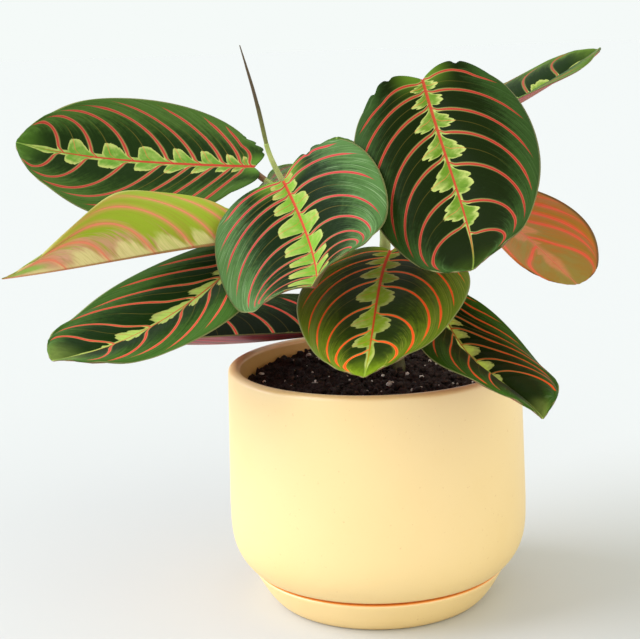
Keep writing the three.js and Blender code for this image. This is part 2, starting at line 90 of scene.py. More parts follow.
# The blades, shaped as the plant's solids are. base is where the midrib starts, length and width
# are in mm, and heading, rise and roll turn the blade, in degrees. droop, hook, sweep and twist
# bend the midrib, fold is the angle at which each half leaves it, cup how each half curves, and
# curl what that gains towards the tip, all in degrees. widest is the share of the length where
# the blade is widest, fullness rounds its outline (the lower, the fuller), lobe is how far its
# base reaches back, as a share of the length, and waves is where the margin's waves start, in
# degrees. left and right are the starts of the side veins, and nicks are dents in the edge of
# the base, each with its side and its depth in mm.
LEAVES = {
    "leaf_upper_left": dict(
        base=(-59, 20, 224), heading=176, rise=3, roll=-35, length=124, width=91, droop=-7, hook=-15,
        sweep=4, twist=-14, fold=(17, -3), cup=(-30, 0), curl=33, widest=0.44, fullness=0.53, lobe=0.04,
        waves=30, left=(0.045, 0.09, 0.165, 0.26, 0.385, 0.535, 0.70, 0.83),
        right=(0.03, 0.06, 0.13, 0.24, 0.36, 0.525, 0.68, 0.82),
        nicks=((-0.5, 1.2), (-0.72, 2.2), (-0.9, 1.8))),
    "leaf_young_folded": dict(
        base=(-58, -12, 191), heading=213, rise=0, roll=46, length=133, width=78, droop=11, hook=-9,
        sweep=2, twist=-21, fold=(58, 51), cup=(84, 5), curl=-127, widest=0.34, fullness=1.27, lobe=0.05,
        waves=109, left=USUAL_LEFT, right=USUAL_RIGHT),
    "leaf_lower_left": dict(
        base=(-56, 1, 188), heading=229, rise=-31, roll=14, length=132, width=88, droop=-20, hook=-15,
        sweep=-7, twist=-3, fold=(11, 25), cup=(-32, 0), curl=-17, widest=0.50, fullness=0.40, lobe=0.05,
        waves=218, left=(0.03, 0.10, 0.19, 0.31, 0.46, 0.63, 0.79),
        right=(0.02, 0.08, 0.16, 0.28, 0.42, 0.64, 0.80)),
    "leaf_back_left": dict(
        base=(-12, 26, 136), heading=168, rise=-11, roll=-10, length=125, width=84, droop=-12, hook=-4,
        sweep=-1, twist=6, fold=(20, 23), cup=(6, -8), curl=9, widest=0.47, fullness=0.55, lobe=0.05,
        waves=21, left=USUAL_LEFT, right=USUAL_RIGHT),
    "leaf_front_left": dict(
        base=(-42, -15, 220), heading=-62, rise=-39, roll=28, length=120, width=96, droop=-42, hook=-21,
        sweep=-17, twist=2, fold=(53, 16), cup=(-52, -43), curl=-43, widest=0.34, fullness=0.39, lobe=0.01,
        waves=75, left=(0.01, 0.04, 0.10, 0.22, 0.37, 0.51, 0.61, 0.72, 0.85),
        right=(0.012, 0.045, 0.095, 0.185, 0.34, 0.485, 0.58, 0.70, 0.84),
        nicks=((0.55, 4.0), (0.78, 1.2))),
    "leaf_front_right": dict(
        base=(27, -15, 267), heading=-78, rise=-43, roll=43, length=140, width=87, droop=1, hook=-41,
        sweep=8, twist=12, fold=(-7, 36), cup=(-46, -28), curl=-13, widest=0.33, fullness=0.53, lobe=0.04,
        waves=184, left=(0.02, 0.075, 0.155, 0.262, 0.415, 0.60, 0.765),
        right=(0.03, 0.07, 0.14, 0.25, 0.375, 0.54, 0.705),
        nicks=((0.55, 2.2), (-0.5, 1.8), (-0.75, 2.4))),
    "leaf_front_centre": dict(
        base=(10, -15, 184), heading=-99, rise=-5, roll=14, length=127, width=86, droop=35, hook=-25,
        sweep=-1, twist=3, fold=(4, 17), cup=(-44, -30), curl=-57, widest=0.33, fullness=0.67, lobe=0.06,
        waves=293, left=(0.02, 0.08, 0.165, 0.275, 0.40, 0.60, 0.775),
        right=(0.04, 0.115, 0.205, 0.34, 0.535, 0.71, 0.84)),
    "leaf_lower_right": dict(
        base=(32, -12, 162), heading=-79, rise=-38, roll=-21, length=135, width=60, droop=-72, hook=48,
        sweep=-6, twist=6, fold=(50, 29), cup=(-53, -38), curl=-48, widest=0.45, fullness=0.62, lobe=0.05,
        waves=64, left=(0.02, 0.06, 0.12, 0.20, 0.29, 0.40, 0.53, 0.66),
        right=(0.03, 0.10, 0.19, 0.33, 0.50, 0.68)),
    "leaf_back_right": dict(
        base=(42, 32, 213), heading=44, rise=-26, roll=-8, length=123, width=83, droop=20, hook=-5,
        sweep=-3, twist=-8, fold=(-2, -1), cup=(53, 13), curl=-25, widest=0.46, fullness=0.51, lobe=0.05,
        waves=151, left=(0.03, 0.10, 0.20, 0.33, 0.47, 0.72), right=(0.02, 0.08, 0.17, 0.29, 0.42, 0.64)),
    "leaf_upper_right": dict(
        base=(25, 13, 229), heading=28, rise=17, roll=-6, length=122, width=84, droop=-9, hook=-6,
        sweep=-3, twist=-2, fold=(29, 19), cup=(-31, -11), curl=-22, widest=0.47, fullness=0.54, lobe=0.05,
        waves=260, left=USUAL_LEFT, right=USUAL_RIGHT),
    "leaf_back": dict(
        base=(-37, 21, 225), heading=75, rise=-17, roll=-14, length=127, width=80, droop=-35, hook=-10,
        sweep=4, twist=9, fold=(-3, -4), cup=(-15, -19), curl=-14, widest=0.45, fullness=0.56, lobe=0.05,
        waves=9, left=USUAL_LEFT, right=USUAL_RIGHT),
}

# Stems: the points that each one passes in mm, and for each leaf that it carries, the place
# on the stem where the stalk starts and how steeply the stalk rises as it reaches the leaf
STEMS = {
    "stem_left": dict(
        route=((1, 14, 101), (1, 14, 128), (-1, 13, 150), (-15, 10, 171), (-33, 8, 191), (-41, 8, 207)),
        stalks=(("leaf_lower_left", 0.62, 1), ("leaf_young_folded", 0.97, -0.35),
                ("leaf_front_left", 0.86, 1), ("leaf_upper_left", 0.95, 1), ("leaf_back", 0.78, 1))),
    "stem_right": dict(
        route=((13, 15, 101), (13, 15, 124), (10, 10, 160), (7, 5, 190), (10, 1, 215)),
        stalks=(("leaf_lower_right", 0.14, 1), ("leaf_front_centre", 0.45, 1), ("leaf_back_right", 0.55, 1),
                ("leaf_upper_right", 0.72, 1), ("leaf_front_right", 0.93, 1))),
    "stem_back": dict(
        route=((4, 33, 104), (4, 33, 113), (2, 32, 121)),
        stalks=(("leaf_back_left", 0.9, 1),)),
}

# The new leaf, still rolled into a spear: its two ends in mm, and its stalk's stem and start
ROLLED_FOOT = np.array((-51, 4, 236), float)
ROLLED_TIP = np.array((-62, 0, 286), float)
ROLLED_STEM = "stem_left"
ROLLED_START = 0.88

# Stems, stalks and the spear: points along them and sides of their tubes, then swellings in mm
# with how far they reach, and thinnings as shares of the radius
STEM_POINTS = 200
STEM_THINNING = 0.32
NODE_SWELLING = 0.5
NODE_REACH = 0.02
STALK_POINTS = 90
STALK_SIDES = 14
STALK_THINNING = 0.36
SHEATH_SWELLING = 0.5
SHEATH_REACH = 0.18
JOINT_SWELLING = 0.35
JOINT_LENGTH = 9.5  # in mm, as far as the joint's colour goes
IN_BLADE_SHARE = 0.45  # what is left of the radius where the stalk slips into the blade
SPEAR_POINTS = 120
SPEAR_SIDES = 28
SPEAR_RADIUS = 0.95
SPEAR_SWELLING = 0.1
SPEAR_THINNING = 0.72  # in mm
SPEAR_OVERLAP = 0.22  # height of the rolled edge as a share of the radius
SPEAR_WINDING = 1.2  # turns that the edge makes round the spear
SPEAR_BOW = (0.8, 0, 0)  # how far the spear's middle stands aside, in mm

# Pot and saucer, in mm. The seam is where the pot's side goes over into the saucer's.
RIM_RADIUS = 75.0
BELLY_RADIUS = 77.0
RIM_HEIGHT = 124.5
BELLY_HEIGHT = 53.0
SEAM_RADIUS = 65.5
SEAM_HEIGHT = 18.0
SEAM_GAP = 0.9
TURN_IN_POWER = 3.7
WALL = 6.0
LIP_ROUND = 2.4
POT_BOTTOM = SEAM_HEIGHT + SEAM_GAP / 2
POT_FLOOR = 7.0
FOOT_OUTER = 50.0
FOOT_INNER = 40.0
DRAIN_RADIUS = 6.0
SAUCER_TOP = SEAM_HEIGHT - SEAM_GAP / 2
SAUCER_BASE_RADIUS = 53.0
SAUCER_POWER = 0.65  # below 1, so the saucer's side bulges
SAUCER_FLOOR = 5.0
SAUCER_WALL = 5.0
SAUCER_ROUND = 1.0
FOOT_GAP = 0.35
POT_EDGE_ROUND = (1.3, 1.2)
TURN_STEPS = 192  # points round the pot and the saucer

# Soil, crumbs and perlite. Lengths are in mm.
SOIL_LEVEL = 110.5
SOIL_SLOPE = 7.0
SOIL_MOUND = 3.0
SOIL_LUMP = 0.8
SOIL_CLEARANCE = 0.3
SOIL_RELIEF = 0.75
SOIL_WAVES = 60
SOIL_RINGS = 130
SOIL_STEPS = 320
SOIL_SEED = 11
CRUMB_SIZES = (0.5, 2.2)
CRUMB_SEED = 5
PERLITE_SIZES = (0.5, 1.8)
PERLITE_SEED = 8
LUMP_FLATNESS = 0.8  # a crumb's or grain's height as a share of its breadth
LUMP_VARIATION = (0.7, 1.3)
LUMP_INSET = 2.0

# Stage: the floor's reach in metres, and for each light the way it shines, how wide it is in
# degrees and its colour
FLOOR_REACH = 30.0
WINDOW_LIGHT = ((1.0, 0.1, -0.6), 50, (0.95, 0.975, 1.14))
ROOM_LIGHT = ((-0.45, 0.85, -0.5), 80, (1.0, 0.96, 0.86))


def rgb(red, green, blue):
    """A colour from its 0 to 255 screen values, as the linear values that Blender keeps."""
    parts = []
    for value in (red, green, blue):
        share = value / 255
        parts.append(share / 12.92 if share <= 0.04045 else ((share + 0.055) / 1.055) ** 2.4)
    return tuple(parts)


# Colours and gloss that no setting holds
FINE_VEIN = rgb(150, 128, 52)
LOBE_VEIN = rgb(196, 96, 60)
# partly painted highlight: the pale margin also stands for light catching the blade's edge
PALE_MARGIN_AND_GLINT = rgb(176, 170, 110)
ROLLED_MARGIN = rgb(146, 176, 78)
# painted bounce light: the inside of the pot's mouth is lighter and more orange than the glaze, to stand for
# light bounced round in it
MOUTH_BOUNCE_LIGHT = rgb(250, 186, 82)
SPECK = rgb(214, 158, 84)
SOIL_SMEAR = rgb(92, 62, 36)
GATHERED_GLAZE = rgb(255, 156, 10)
DAMP_SOIL = rgb(30, 22, 19)
BARK = rgb(104, 74, 52)
DUSTY_PERLITE = rgb(150, 122, 92)
PALE_STALK = rgb(186, 194, 118)
STALK_FLECK = rgb(150, 96, 70)
STEM_FOOT = rgb(58, 46, 32)
SPEAR_FOOT = rgb(116, 122, 56)
SPEAR_TIP = rgb(80, 64, 40)
SPEAR_FLECK = rgb(70, 60, 40)
BACKGROUND = rgb(245, 250, 248)  # as light as the floor far away, so that no horizon shows
GLAZE_IOR = 1.8


def colour_property(name, description, default):
    return bpy.props.FloatVectorProperty(
        name=name, description=description, subtype="COLOR", size=3, min=0, max=1, default=default)


def length_property(name, description, default):
    return bpy.props.FloatProperty(name=name, description=description, default=default, unit="LENGTH")


def angle_property(name, description, degrees):
    return bpy.props.FloatProperty(
        name=name, description=description, default=math.radians(degrees), unit="ROTATION")


class PlantBlades(bpy.types.PropertyGroup):
    """Sizes and colours of the leaf blades"""
    thickness: length_property("Thickness", "Thickness of a blade", 0.0007)
    quilting: length_property("Quilting", "How far the blade swells between its veins", 0.0005)
    pale: colour_property("Pale edge", "Thin borders of the veins and lobes", rgb(170, 178, 96))


class PlantPot(bpy.types.PropertyGroup):
    """Colours of the pot and its saucer"""
    glaze: colour_property("Ceramic", "Outside of the pot and saucer", rgb(247, 212, 138))
    deep: colour_property("Deep ceramic", "Darker mottling", rgb(241, 200, 112))
    grain: length_property("Grain", "Height of the fine grain of the surface", 0.00006)


class PlantSoil(bpy.types.PropertyGroup):
    """The soil and what lies in it"""
    crumbs: bpy.props.IntProperty(name="Crumbs", description="Number of loose soil crumbs", default=1500)
    perlite: bpy.props.IntProperty(name="Perlite", description="Number of white perlite grains", default=130)
    earth: colour_property("Soil", "Moist potting soil", rgb(74, 55, 45))
    white: colour_property("Perlite colour", "Perlite grains", rgb(232, 226, 212))


class PlantStalks(bpy.types.PropertyGroup):
    """Sizes and colours of the stems and stalks"""
    stem_radius: length_property("Stem radius", "Radius of a stem in the soil", 0.0031)
    stalk_radius: length_property("Stalk radius", "Radius of a leaf's stalk where it starts", 0.0019)
    green: colour_property("Stalk", "Stems and stalks", rgb(150, 168, 84))
    joint: colour_property("Joint", "The joint below each blade", rgb(120, 62, 44))


class PlantStage(bpy.types.PropertyGroup):
    """Floor, lights and camera"""
    lens: bpy.props.FloatProperty(name="Lens", description="Focal length in mm", default=78.75)
    distance: length_property("Distance", "Camera's distance in front of the pot", 0.703)
    height: length_property("Height", "Camera's height above the floor", 0.2886)
    down: angle_property("Down", "How far the camera looks down", 11.4)
    aside: angle_property("Aside", "How far the camera looks to the left", 2.2)
    tilt: angle_property("Tilt", "The camera's tilt about its own axis", -1.99)
    window: bpy.props.FloatProperty(name="Window", description="Strength of the window's light", default=3.2)
    room: bpy.props.FloatProperty(
        name="Room", description="Strength of the light from the room in front", default=0.9)
    floor: colour_property("Floor", "The pale floor", rgb(202, 203, 199))


def operator_forms(operation):
    """One of Python's operators as a Math node, and its reflected form for a number on the left."""
    def form(wire, other):
        return wire.maths(operation, wire, other)

    def reflected(wire, other):
        return wire.maths(operation, other, wire)

    return form, reflected


class Wire:
    """A shader socket that Python expressions work on. node() adds any other node."""

    def __init__(self, tree, socket=None):
        self.tree = tree
        self.socket = socket

    def node(self, kind, settings=None, inputs=None, output=0):
        """Adds a node, sets its settings, then gives each input its value or link."""
        made = self.tree.nodes.new(kind)
        for name, value in (settings or {}).items():
            setattr(made, name, value)
        for key, value in (inputs or {}).items():
            if isinstance(value, Wire):
                self.tree.links.new(value.socket, made.inputs[key])
            else:
                made.inputs[key].default_value = value
        return Wire(self.tree, made.outputs[output])

    def maths(self, operation, *values):
        return self.node("ShaderNodeMath", {"operation": operation}, dict(enumerate(values)))

    __add__, __radd__ = operator_forms("ADD")
    __sub__, __rsub__ = operator_forms("SUBTRACT")
    __mul__, __rmul__ = operator_forms("MULTIPLY")
    __truediv__, __rtruediv__ = operator_forms("DIVIDE")
    __pow__, __rpow__ = operator_forms("POWER")

    def __abs__(self):
        return self.maths("ABSOLUTE", self)

    def step(self, low, high):
        """Goes smoothly from 0 at low to 1 at high, and the other way where low is the larger."""
        return self.node("ShaderNodeMapRange", {"interpolation_type": "SMOOTHSTEP"},
                         {"Value": self, "From Min": low, "From Max": high})

    def mix(self, low, high):
        """The colour low where this wire is 0, and high where it is 1."""
        low, high = (c if isinstance(c, Wire) else (*c, 1) for c in (low, high))
        return self.node("ShaderNodeMix", {"data_type": "RGBA"}, {0: self, 6: low, 7: high}, 2)

    def axis(self, number):
        """The x, y or z value of this wire's vector, as number 0, 1 or 2."""
        return self.node("ShaderNodeSeparateXYZ", None, {0: self}, number)

    def attribute(self, name):
        return self.node("ShaderNodeAttribute", {"attribute_name": name}, None, "Fac")

    def noise(self, scale, detail=2, roughness=0.5):
        """Noise on this wire's vector, whose lumps are about one over the scale across."""
        return self.node("ShaderNodeTexNoise", None,
                         {"Vector": self, "Scale": scale, "Detail": detail, "Roughness": roughness})

    def vector(self, x, y, z=0.0):
        return self.node("ShaderNodeCombineXYZ", None, {0: x, 1: y, 2: z})


def start_material(name):
    """A new material, and a wire to build from."""
    material = bpy.data.materials.new(name)
    material.use_nodes = True
    return material, Wire(material.node_tree)


def shader_inputs(material):
    return material.node_tree.nodes["Principled BSDF"].inputs


def finish_material(material, colour, roughness, height, distance, specular):
    """Links colour, roughness and a bump to the Principled shader. The bump's height is counted
    in its distance, which is in metres."""
    inputs = shader_inputs(material)
    bump = colour.node("ShaderNodeBump", None, {"Strength": 1.0, "Distance": distance, "Height": height})
    for name, wire in (("Base Color", colour), ("Roughness", roughness), ("Normal", bump)):
        material.node_tree.links.new(wire.socket, inputs[name])
    inputs["Specular IOR Level"].default_value = specular
    return material


def layered(colour, *layers):
    """Lays colours over the first one, in order. Each layer is a mask and a colour."""
    for mask, over in layers:
        colour = mask.mix(colour, over)
    return colour


def object_coordinates(wire):
    """Places on the piece in metres, which are also places on the whole plant."""
    return wire.node("ShaderNodeTexCoord", None, None, "Object")


def grid_faces(rows, columns, wrap_rows=False, wrap_columns=False):
    """Corner indices of a grid's quads, with the last row or column joined to the first on request."""
    row = np.arange(rows if wrap_rows else rows - 1)[:, None]
    column = np.arange(columns if wrap_columns else columns - 1)[None, :]
    next_row = (row + 1) % rows
    next_column = (column + 1) % columns
    corners = [row * columns + column, row * columns + next_column,
               next_row * columns + next_column, next_row * columns + column]
    return np.stack(np.broadcast_arrays(*corners), -1).reshape(-1, 4)


def triangles_last(faces, places):
    """Turns each quad that has two equal corners so that they come last, and its places with it."""
    for turn in range(1, 4):
        rolled = np.roll(faces, turn, 1)
        fits = (rolled[:, 2] == rolled[:, 3]) & (faces[:, 2] != faces[:, 3])
        faces = np.where(fits[:, None], rolled, faces)
        places = np.where(fits[:, None], np.roll(places, turn, 1), places)
    return faces, places


def pinched_rings(rings, sides):
    """Indices of rings of points, where the first and the last ring are one point each."""
    index = np.arange(rings * sides).reshape(rings, sides)
    index[0] = index[0, 0]
    index[-1] = index[-1, 0]
    return index


def ring_faces(index):
    """Faces between rings of point indices, with triangles where a ring is one point."""
    faces = index.ravel()[grid_faces(*index.shape, False, True)]
    return triangles_last(faces, faces)[0]


def used_points(points, faces):
    """Drops the points that no face uses, and counts the others anew."""
    used, index = np.unique(faces, return_inverse=True)
    return points[used], index.reshape(faces.shape)


def new_object(name, data):
    """An object with this mesh, light or camera, in the scene."""
    made = bpy.data.objects.new(name, data)
    bpy.context.scene.collection.objects.link(made)
    return made


def mesh_piece(name, points, faces, materials, face_material=None, corner_maps=None, attributes=None):
    """One smooth mesh object at the origin, which rides on the body. points are in metres. faces
    is an array of quads, and a quad whose last two corners are equal is a triangle. corner_maps
    holds UV maps by face corner, and attributes a value for each point."""
    triangle = faces[:, 2] == faces[:, 3]
    sizes = np.where(triangle, 3, 4)
    keep = np.ones(faces.shape, bool)
    keep[triangle, 3] = False
    loops = faces[keep]
    starts = np.concatenate([[0], np.cumsum(sizes)[:-1]])
    mesh = bpy.data.meshes.new(name)
    mesh.vertices.add(len(points))
    mesh.vertices.foreach_set("co", points.astype(np.float32).ravel())
    mesh.loops.add(len(loops))
    mesh.loops.foreach_set("vertex_index", loops.astype(np.int32))
    mesh.polygons.add(len(faces))
    mesh.polygons.foreach_set("loop_start", starts.astype(np.int32))
    mesh.update(calc_edges=True)
    for map_name, corners in (corner_maps or {}).items():
        layer = mesh.uv_layers.new(name=map_name)
        layer.data.foreach_set("uv", corners[keep].astype(np.float32).ravel())
    for attribute, values in (attributes or {}).items():
        point_values = mesh.attributes.new(attribute, "FLOAT", "POINT")
        point_values.data.foreach_set("value", values.astype(np.float32))
    for material in materials:
        mesh.materials.append(material)
    if face_material is not None:
        mesh.polygons.foreach_set("material_index", face_material.astype(np.int32))
    mesh.polygons.foreach_set("use_smooth", np.ones(len(faces), bool))
    if mesh.validate(verbose=False):
        raise RuntimeError(f"{name}: its mesh had faults")
    piece = new_object(name, mesh)
    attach(piece, BODY)
    return piece


def length_share(leaf, row, side):
    """How far along the blade a place is: its row, plus the sweep of the side veins, which grows
    with the share of the half width to a power, plus the two lobes at the base and their nicks."""
    out = np.abs(side)
    nicks = 0 * row
    for place, depth in leaf.get("nicks", ()):
        dent = np.exp(-((side - place) / NICK_WIDTH) ** 2 - row / NICK_REACH)
        nicks = nicks + depth / leaf["length"] * dent
    spread = (1 - row) * (1 - np.exp(-row / VEIN_START))
    lean = VEIN_STRAIGHT * out + (1 - VEIN_STRAIGHT) * out ** VEIN_POWER
    lobes = BASE_WIDTH_AT * out ** 3 - leaf["lobe"] * np.sin(np.pi * out)
    edge = VEIN_EDGE * spread * out ** VEIN_EDGE_POWER
    return row + VEIN_REACH * spread * lean + edge + lobes * np.exp(-row / LOBE_REACH) + nicks


def half_width(leaf, share):
    """Half the blade's width: a sine, of a power of the share of the length that puts its top at
    the widest place, raised to the blade's fullness. The last bit of the tip is narrowed."""
    place = np.clip(share, BASE_WIDTH_AT, 1)
    turn = np.pi * place ** (math.log(0.5) / math.log(leaf["widest"]))
    outline = leaf["width"] / 2 * np.maximum(np.sin(turn), 0) ** leaf["fullness"]
    return outline * (1 - TIP_NARROWING * np.exp(-(1 - place) / TIP_REACH))


def unit(vectors):
    return vectors / np.maximum(np.linalg.norm(vectors, axis=-1, keepdims=True), 1e-12)


def midrib_direction(leaf, share):
    """The midrib's direction: it turns down with droop and hook, and aside with sweep."""
    down = np.radians(leaf["droop"] * share + leaf["hook"] * share ** 3)
    aside = np.radians(leaf["sweep"] * share)
    return np.stack([np.cos(down) * np.cos(aside), np.cos(down) * np.sin(aside), -np.sin(down)], -1)


def midrib_point(leaf, share):
    """The midrib: the sum of its directions along the length, 0 at the base."""
    middle = (MIDRIB_TABLE[1:] + MIDRIB_TABLE[:-1]) / 2
    steps = midrib_direction(leaf, middle) * np.diff(MIDRIB_TABLE)[:, None] * leaf["length"]
    points = np.concatenate([np.zeros((1, 3)), np.cumsum(steps, 0)])
    axes = [np.interp(share, MIDRIB_TABLE, axis) - np.interp(0, MIDRIB_TABLE, axis) for axis in points.T]
    return np.stack(axes, -1)


def leaf_axes(leaf):
    """Along the midrib at its base, to the left, and out of the upper face."""
    heading, rise, roll = (math.radians(leaf[key]) for key in ("heading", "rise", "roll"))
    along = np.array([math.cos(rise) * math.cos(heading), math.cos(rise) * math.sin(heading), math.sin(rise)])
    level = np.array([-math.sin(heading), math.cos(heading), 0.0])
    left = math.cos(roll) * level + math.sin(roll) * np.cross(along, level)
    return along, left, np.cross(along, left)


def blade_points(leaf, row, side, detail):
    """Places on the blade in metres. Each half leaves the midrib at its fold angle and curves by
    its cup, which curl changes towards the tip, so its arc is part of a circle. The margin waves
    up and down, and detail lifts the blade by so many mm. A flat half gets a trace of a cup,
    which the circle needs."""
    share = length_share(leaf, row, side)
    half = leaf["width"] / 2
    left_half = side >= 0
    arc = half_width(leaf, share) * np.abs(side)
    fold = np.radians(np.where(left_half, *leaf["fold"]))
    bend = np.where(left_half, *leaf["cup"]) + leaf["curl"] * np.maximum(share, 0) ** 2
    cup = np.radians(np.where(np.abs(bend) < 1e-3, 1e-3, bend))
    turn = fold + cup * arc / half
    across = (np.sin(turn) - np.sin(fold)) / cup * half
    lifted = (np.cos(fold) - np.cos(turn)) / cup * half
    along = midrib_direction(leaf, share)
    aside = np.radians(leaf["sweep"] * share)
    twist = np.radians(leaf["twist"] * share)[..., None]
    level = np.stack([-np.sin(aside), np.cos(aside), 0 * aside], -1)
    left = np.cos(twist) * level + np.sin(twist) * np.cross(along, level)
    up = np.cross(along, left)
    phase = math.radians(leaf["waves"]) + np.where(left_half, 0, 1)
    wave = WAVE * np.abs(side) ** 3 * np.sin(2 * np.pi * WAVES * row + phase) * (1 - row)
    place = midrib_point(leaf, share)
    place = place + left * (across * np.where(left_half, 1, -1))[..., None]
    place = place + up * (lifted + wave + detail)[..., None]
    axes = leaf_axes(leaf)
    return (np.array(leaf["base"]) + place @ np.stack(axes)) * MM


def vein_steps(veins, row):
    """Counts veins along the blade: a whole number at each vein, and evenly between them. The
    ends stay within half a step or so of the first and last vein, so no vein is added there."""
    places = np.concatenate([[-0.05], veins, [1.0]])
    counts = np.concatenate([[-0.5], np.arange(len(veins)), [len(veins) - 0.6]])
    return np.interp(row, places, counts)


def smooth(value, low, high):
    """From 0 at low to 1 at high, by three times the share's square less twice its cube."""
    share = np.clip((value - low) / (high - low), 0, 1)
    return share * share * (3 - 2 * share)


def surface_normals(points):
    """Normals of a grid of points, from its differences along the rows and columns."""
    down = np.gradient(points, axis=0)
    across = np.gradient(points, axis=1)
    return unit(np.cross(down, across))


def blade_relief(look, row, side, across, count):
    """How far the blade stands off its smooth surface, in mm. It swells between the veins by the
    sine of their count to a power, but not at the midrib, margin and tip, and it dips along the
    midrib by a bell curve of the distance from it."""
    out = np.abs(side)
    window = smooth(out, 0.02, 0.25) * (1 - smooth(out, 0.7, 1.0)) * smooth(1 - row, 0, 0.15)
    swell = look.quilting / MM * np.abs(np.sin(np.pi * count)) ** SWELL_POWER * window
    return swell - GROOVE_DEPTH * np.exp(-(across / GROOVE_WIDTH) ** 2) * (1 - row)


def half_thickness(leaf, look, row, side):
    """Half the blade's thickness in metres: the square root of the distance from its edge, up to
    its full value at EDGE_ROUND."""
    edge = np.minimum((1 - np.abs(side)) * leaf["width"] / 2, row * leaf["length"])
    edge = np.minimum(edge, (1 - row) * leaf["length"])
    return look.thickness / 2 * np.sqrt(np.clip(edge / EDGE_ROUND, 0, 1))


def shell_faces(shape):
    """Faces of an upper and a lower surface over the same grid, which share the points of their
    edge and of the tip, and for each face the grid places of its corners."""
    index = np.arange(shape[0] * shape[1]).reshape(shape)
    index[-1] = index[-1, 0]
    under = index + index.size
    under[0], under[-1] = index[0], index[-1]
    under[:, 0], under[:, -1] = index[:, 0], index[:, -1]
    quads = grid_faces(*shape)
    faces = np.concatenate([index.ravel()[quads], under.ravel()[quads][:, ::-1]])
    return triangles_last(faces, np.concatenate([quads, quads[:, ::-1]]))


def vein_maps(leaf, middle, rows, row, side, places):
    """Two UV maps by face corner: the count of veins with the side, and the distance between two
    veins in mm with the row. The distance is how far the surface runs square to its rows, over
    how far the count runs. Each face takes the count of its own half."""
    down = np.gradient(middle, axis=0) / np.gradient(rows)[:, None, None]
    pace = np.linalg.norm(np.cross(down, unit(np.gradient(middle, axis=1))), axis=-1) / MM
    counts, spacings = [], []
    for half in ("left", "right"):
        count = vein_steps(leaf[half], row)
        slope = np.gradient(count, axis=0) / np.gradient(rows)[:, None]
        counts.append(count.ravel()[places])
        spacings.append((pace / slope).ravel()[places])
    sides = side.ravel()[places]
    on_left = sides.sum(1, keepdims=True) > 0
    return {"veins": np.stack([np.where(on_left, *counts), sides], -1),
            "measure": np.stack([np.where(on_left, *spacings), row.ravel()[places]], -1)}


def blade_piece(name, leaf, look, materials):
    """A closed blade: an upper and a lower surface over a grid of rows and sides, each half the
    thickness off the middle one along its normal."""
    rows = np.linspace(0, 1, BLADE_ROWS + 1) ** ROW_SPACING
    row, side = np.meshgrid(rows, np.linspace(-1, 1, 2 * HALF_COLUMNS + 1), indexing="ij")
    across = half_width(leaf, length_share(leaf, row, side)) * np.abs(side)
    count = np.where(side >= 0, vein_steps(leaf["left"], row), vein_steps(leaf["right"], row))
    middle = blade_points(leaf, row, side, blade_relief(look, row, side, across, count))
    normal = surface_normals(middle)
    normal[-1] = normal[-2]
    offset = normal * half_thickness(leaf, look, row, side)[..., None]
    faces, places = shell_faces(row.shape)
    maps = vein_maps(leaf, middle, rows, row, side, places)
    face_material = np.repeat([0, 1], len(faces) // 2)
    point_across = np.tile(across.ravel(), 2)[np.unique(faces)]
    points = np.concatenate([(middle + offset).reshape(-1, 3), (middle - offset).reshape(-1, 3)])
    points, faces = used_points(points, faces)
    return mesh_piece(name, points, faces, materials, face_material, maps, {"across": point_across})


def blade_pattern(wire, paint):
    """The wires that both faces of a blade share. across is the distance from the midrib, distance
    the one from the nearest side vein and past the one past the last vein, all in mm. between
    goes from 0 at one vein to 1 at the next. Where they leave the midrib, the veins lean towards
    the base by the slant. chance is a random number for each lobe."""
    veins = wire.node("ShaderNodeUVMap", {"uv_map": "veins"})
    measure = wire.node("ShaderNodeUVMap", {"uv_map": "measure"})
    across = wire.attribute("across")
    spacing, row = measure.axis(0), measure.axis(1)
    slant = across.step(paint.join, 0.0)
    count = veins.axis(0) + slant * slant * paint.slant / spacing
    place = object_coordinates(wire)
    side = abs(veins.axis(1))
    sign = wire.maths("SIGN", veins.axis(1))
    between = wire.maths("FRACT", count)
    wobble = (place.noise(150) - 0.5) * 0.4
    lobe_key = wire.vector(wire.maths("FLOOR", count), sign * 7)
    chance = wire.node("ShaderNodeTexWhiteNoise", {"noise_dimensions": "2D"}, {"Vector": lobe_key}, "Value")
    return SimpleNamespace(
        place=place, side=side, sign=sign, row=row, across=across, spacing=spacing, between=between,
        distance=wire.maths("PINGPONG", count, 0.5) * spacing + wobble, past=between * spacing, chance=chance,
        streaks=wire.vector(count * 12, side * 2.4, row * 2).noise(1.0, 2, 0.6),
        fine=wire.vector(count * 30, side * 4, row * 2).noise(1.0, 1, 0.5))


def vein_half_width(part, width, start, end):
    """Half a side vein's width: slender where it leaves the midrib, and run out between the two
    shares of the half width."""
    slender = part.across.step(7.0, 0.0) * 0.42
    run_out = part.side.step(start, end)
    return (1 - slender) * (1 - run_out) * (width / 2) - run_out * 0.2


def tooth(place, peak, width, power):
    """One tooth of a lobe: 1 at its peak, falling to 0 at the width on both sides. The power makes
    it pointed at 1 and blunt above 2."""
    return 1 - abs(place - peak).step(0.0, width) ** power


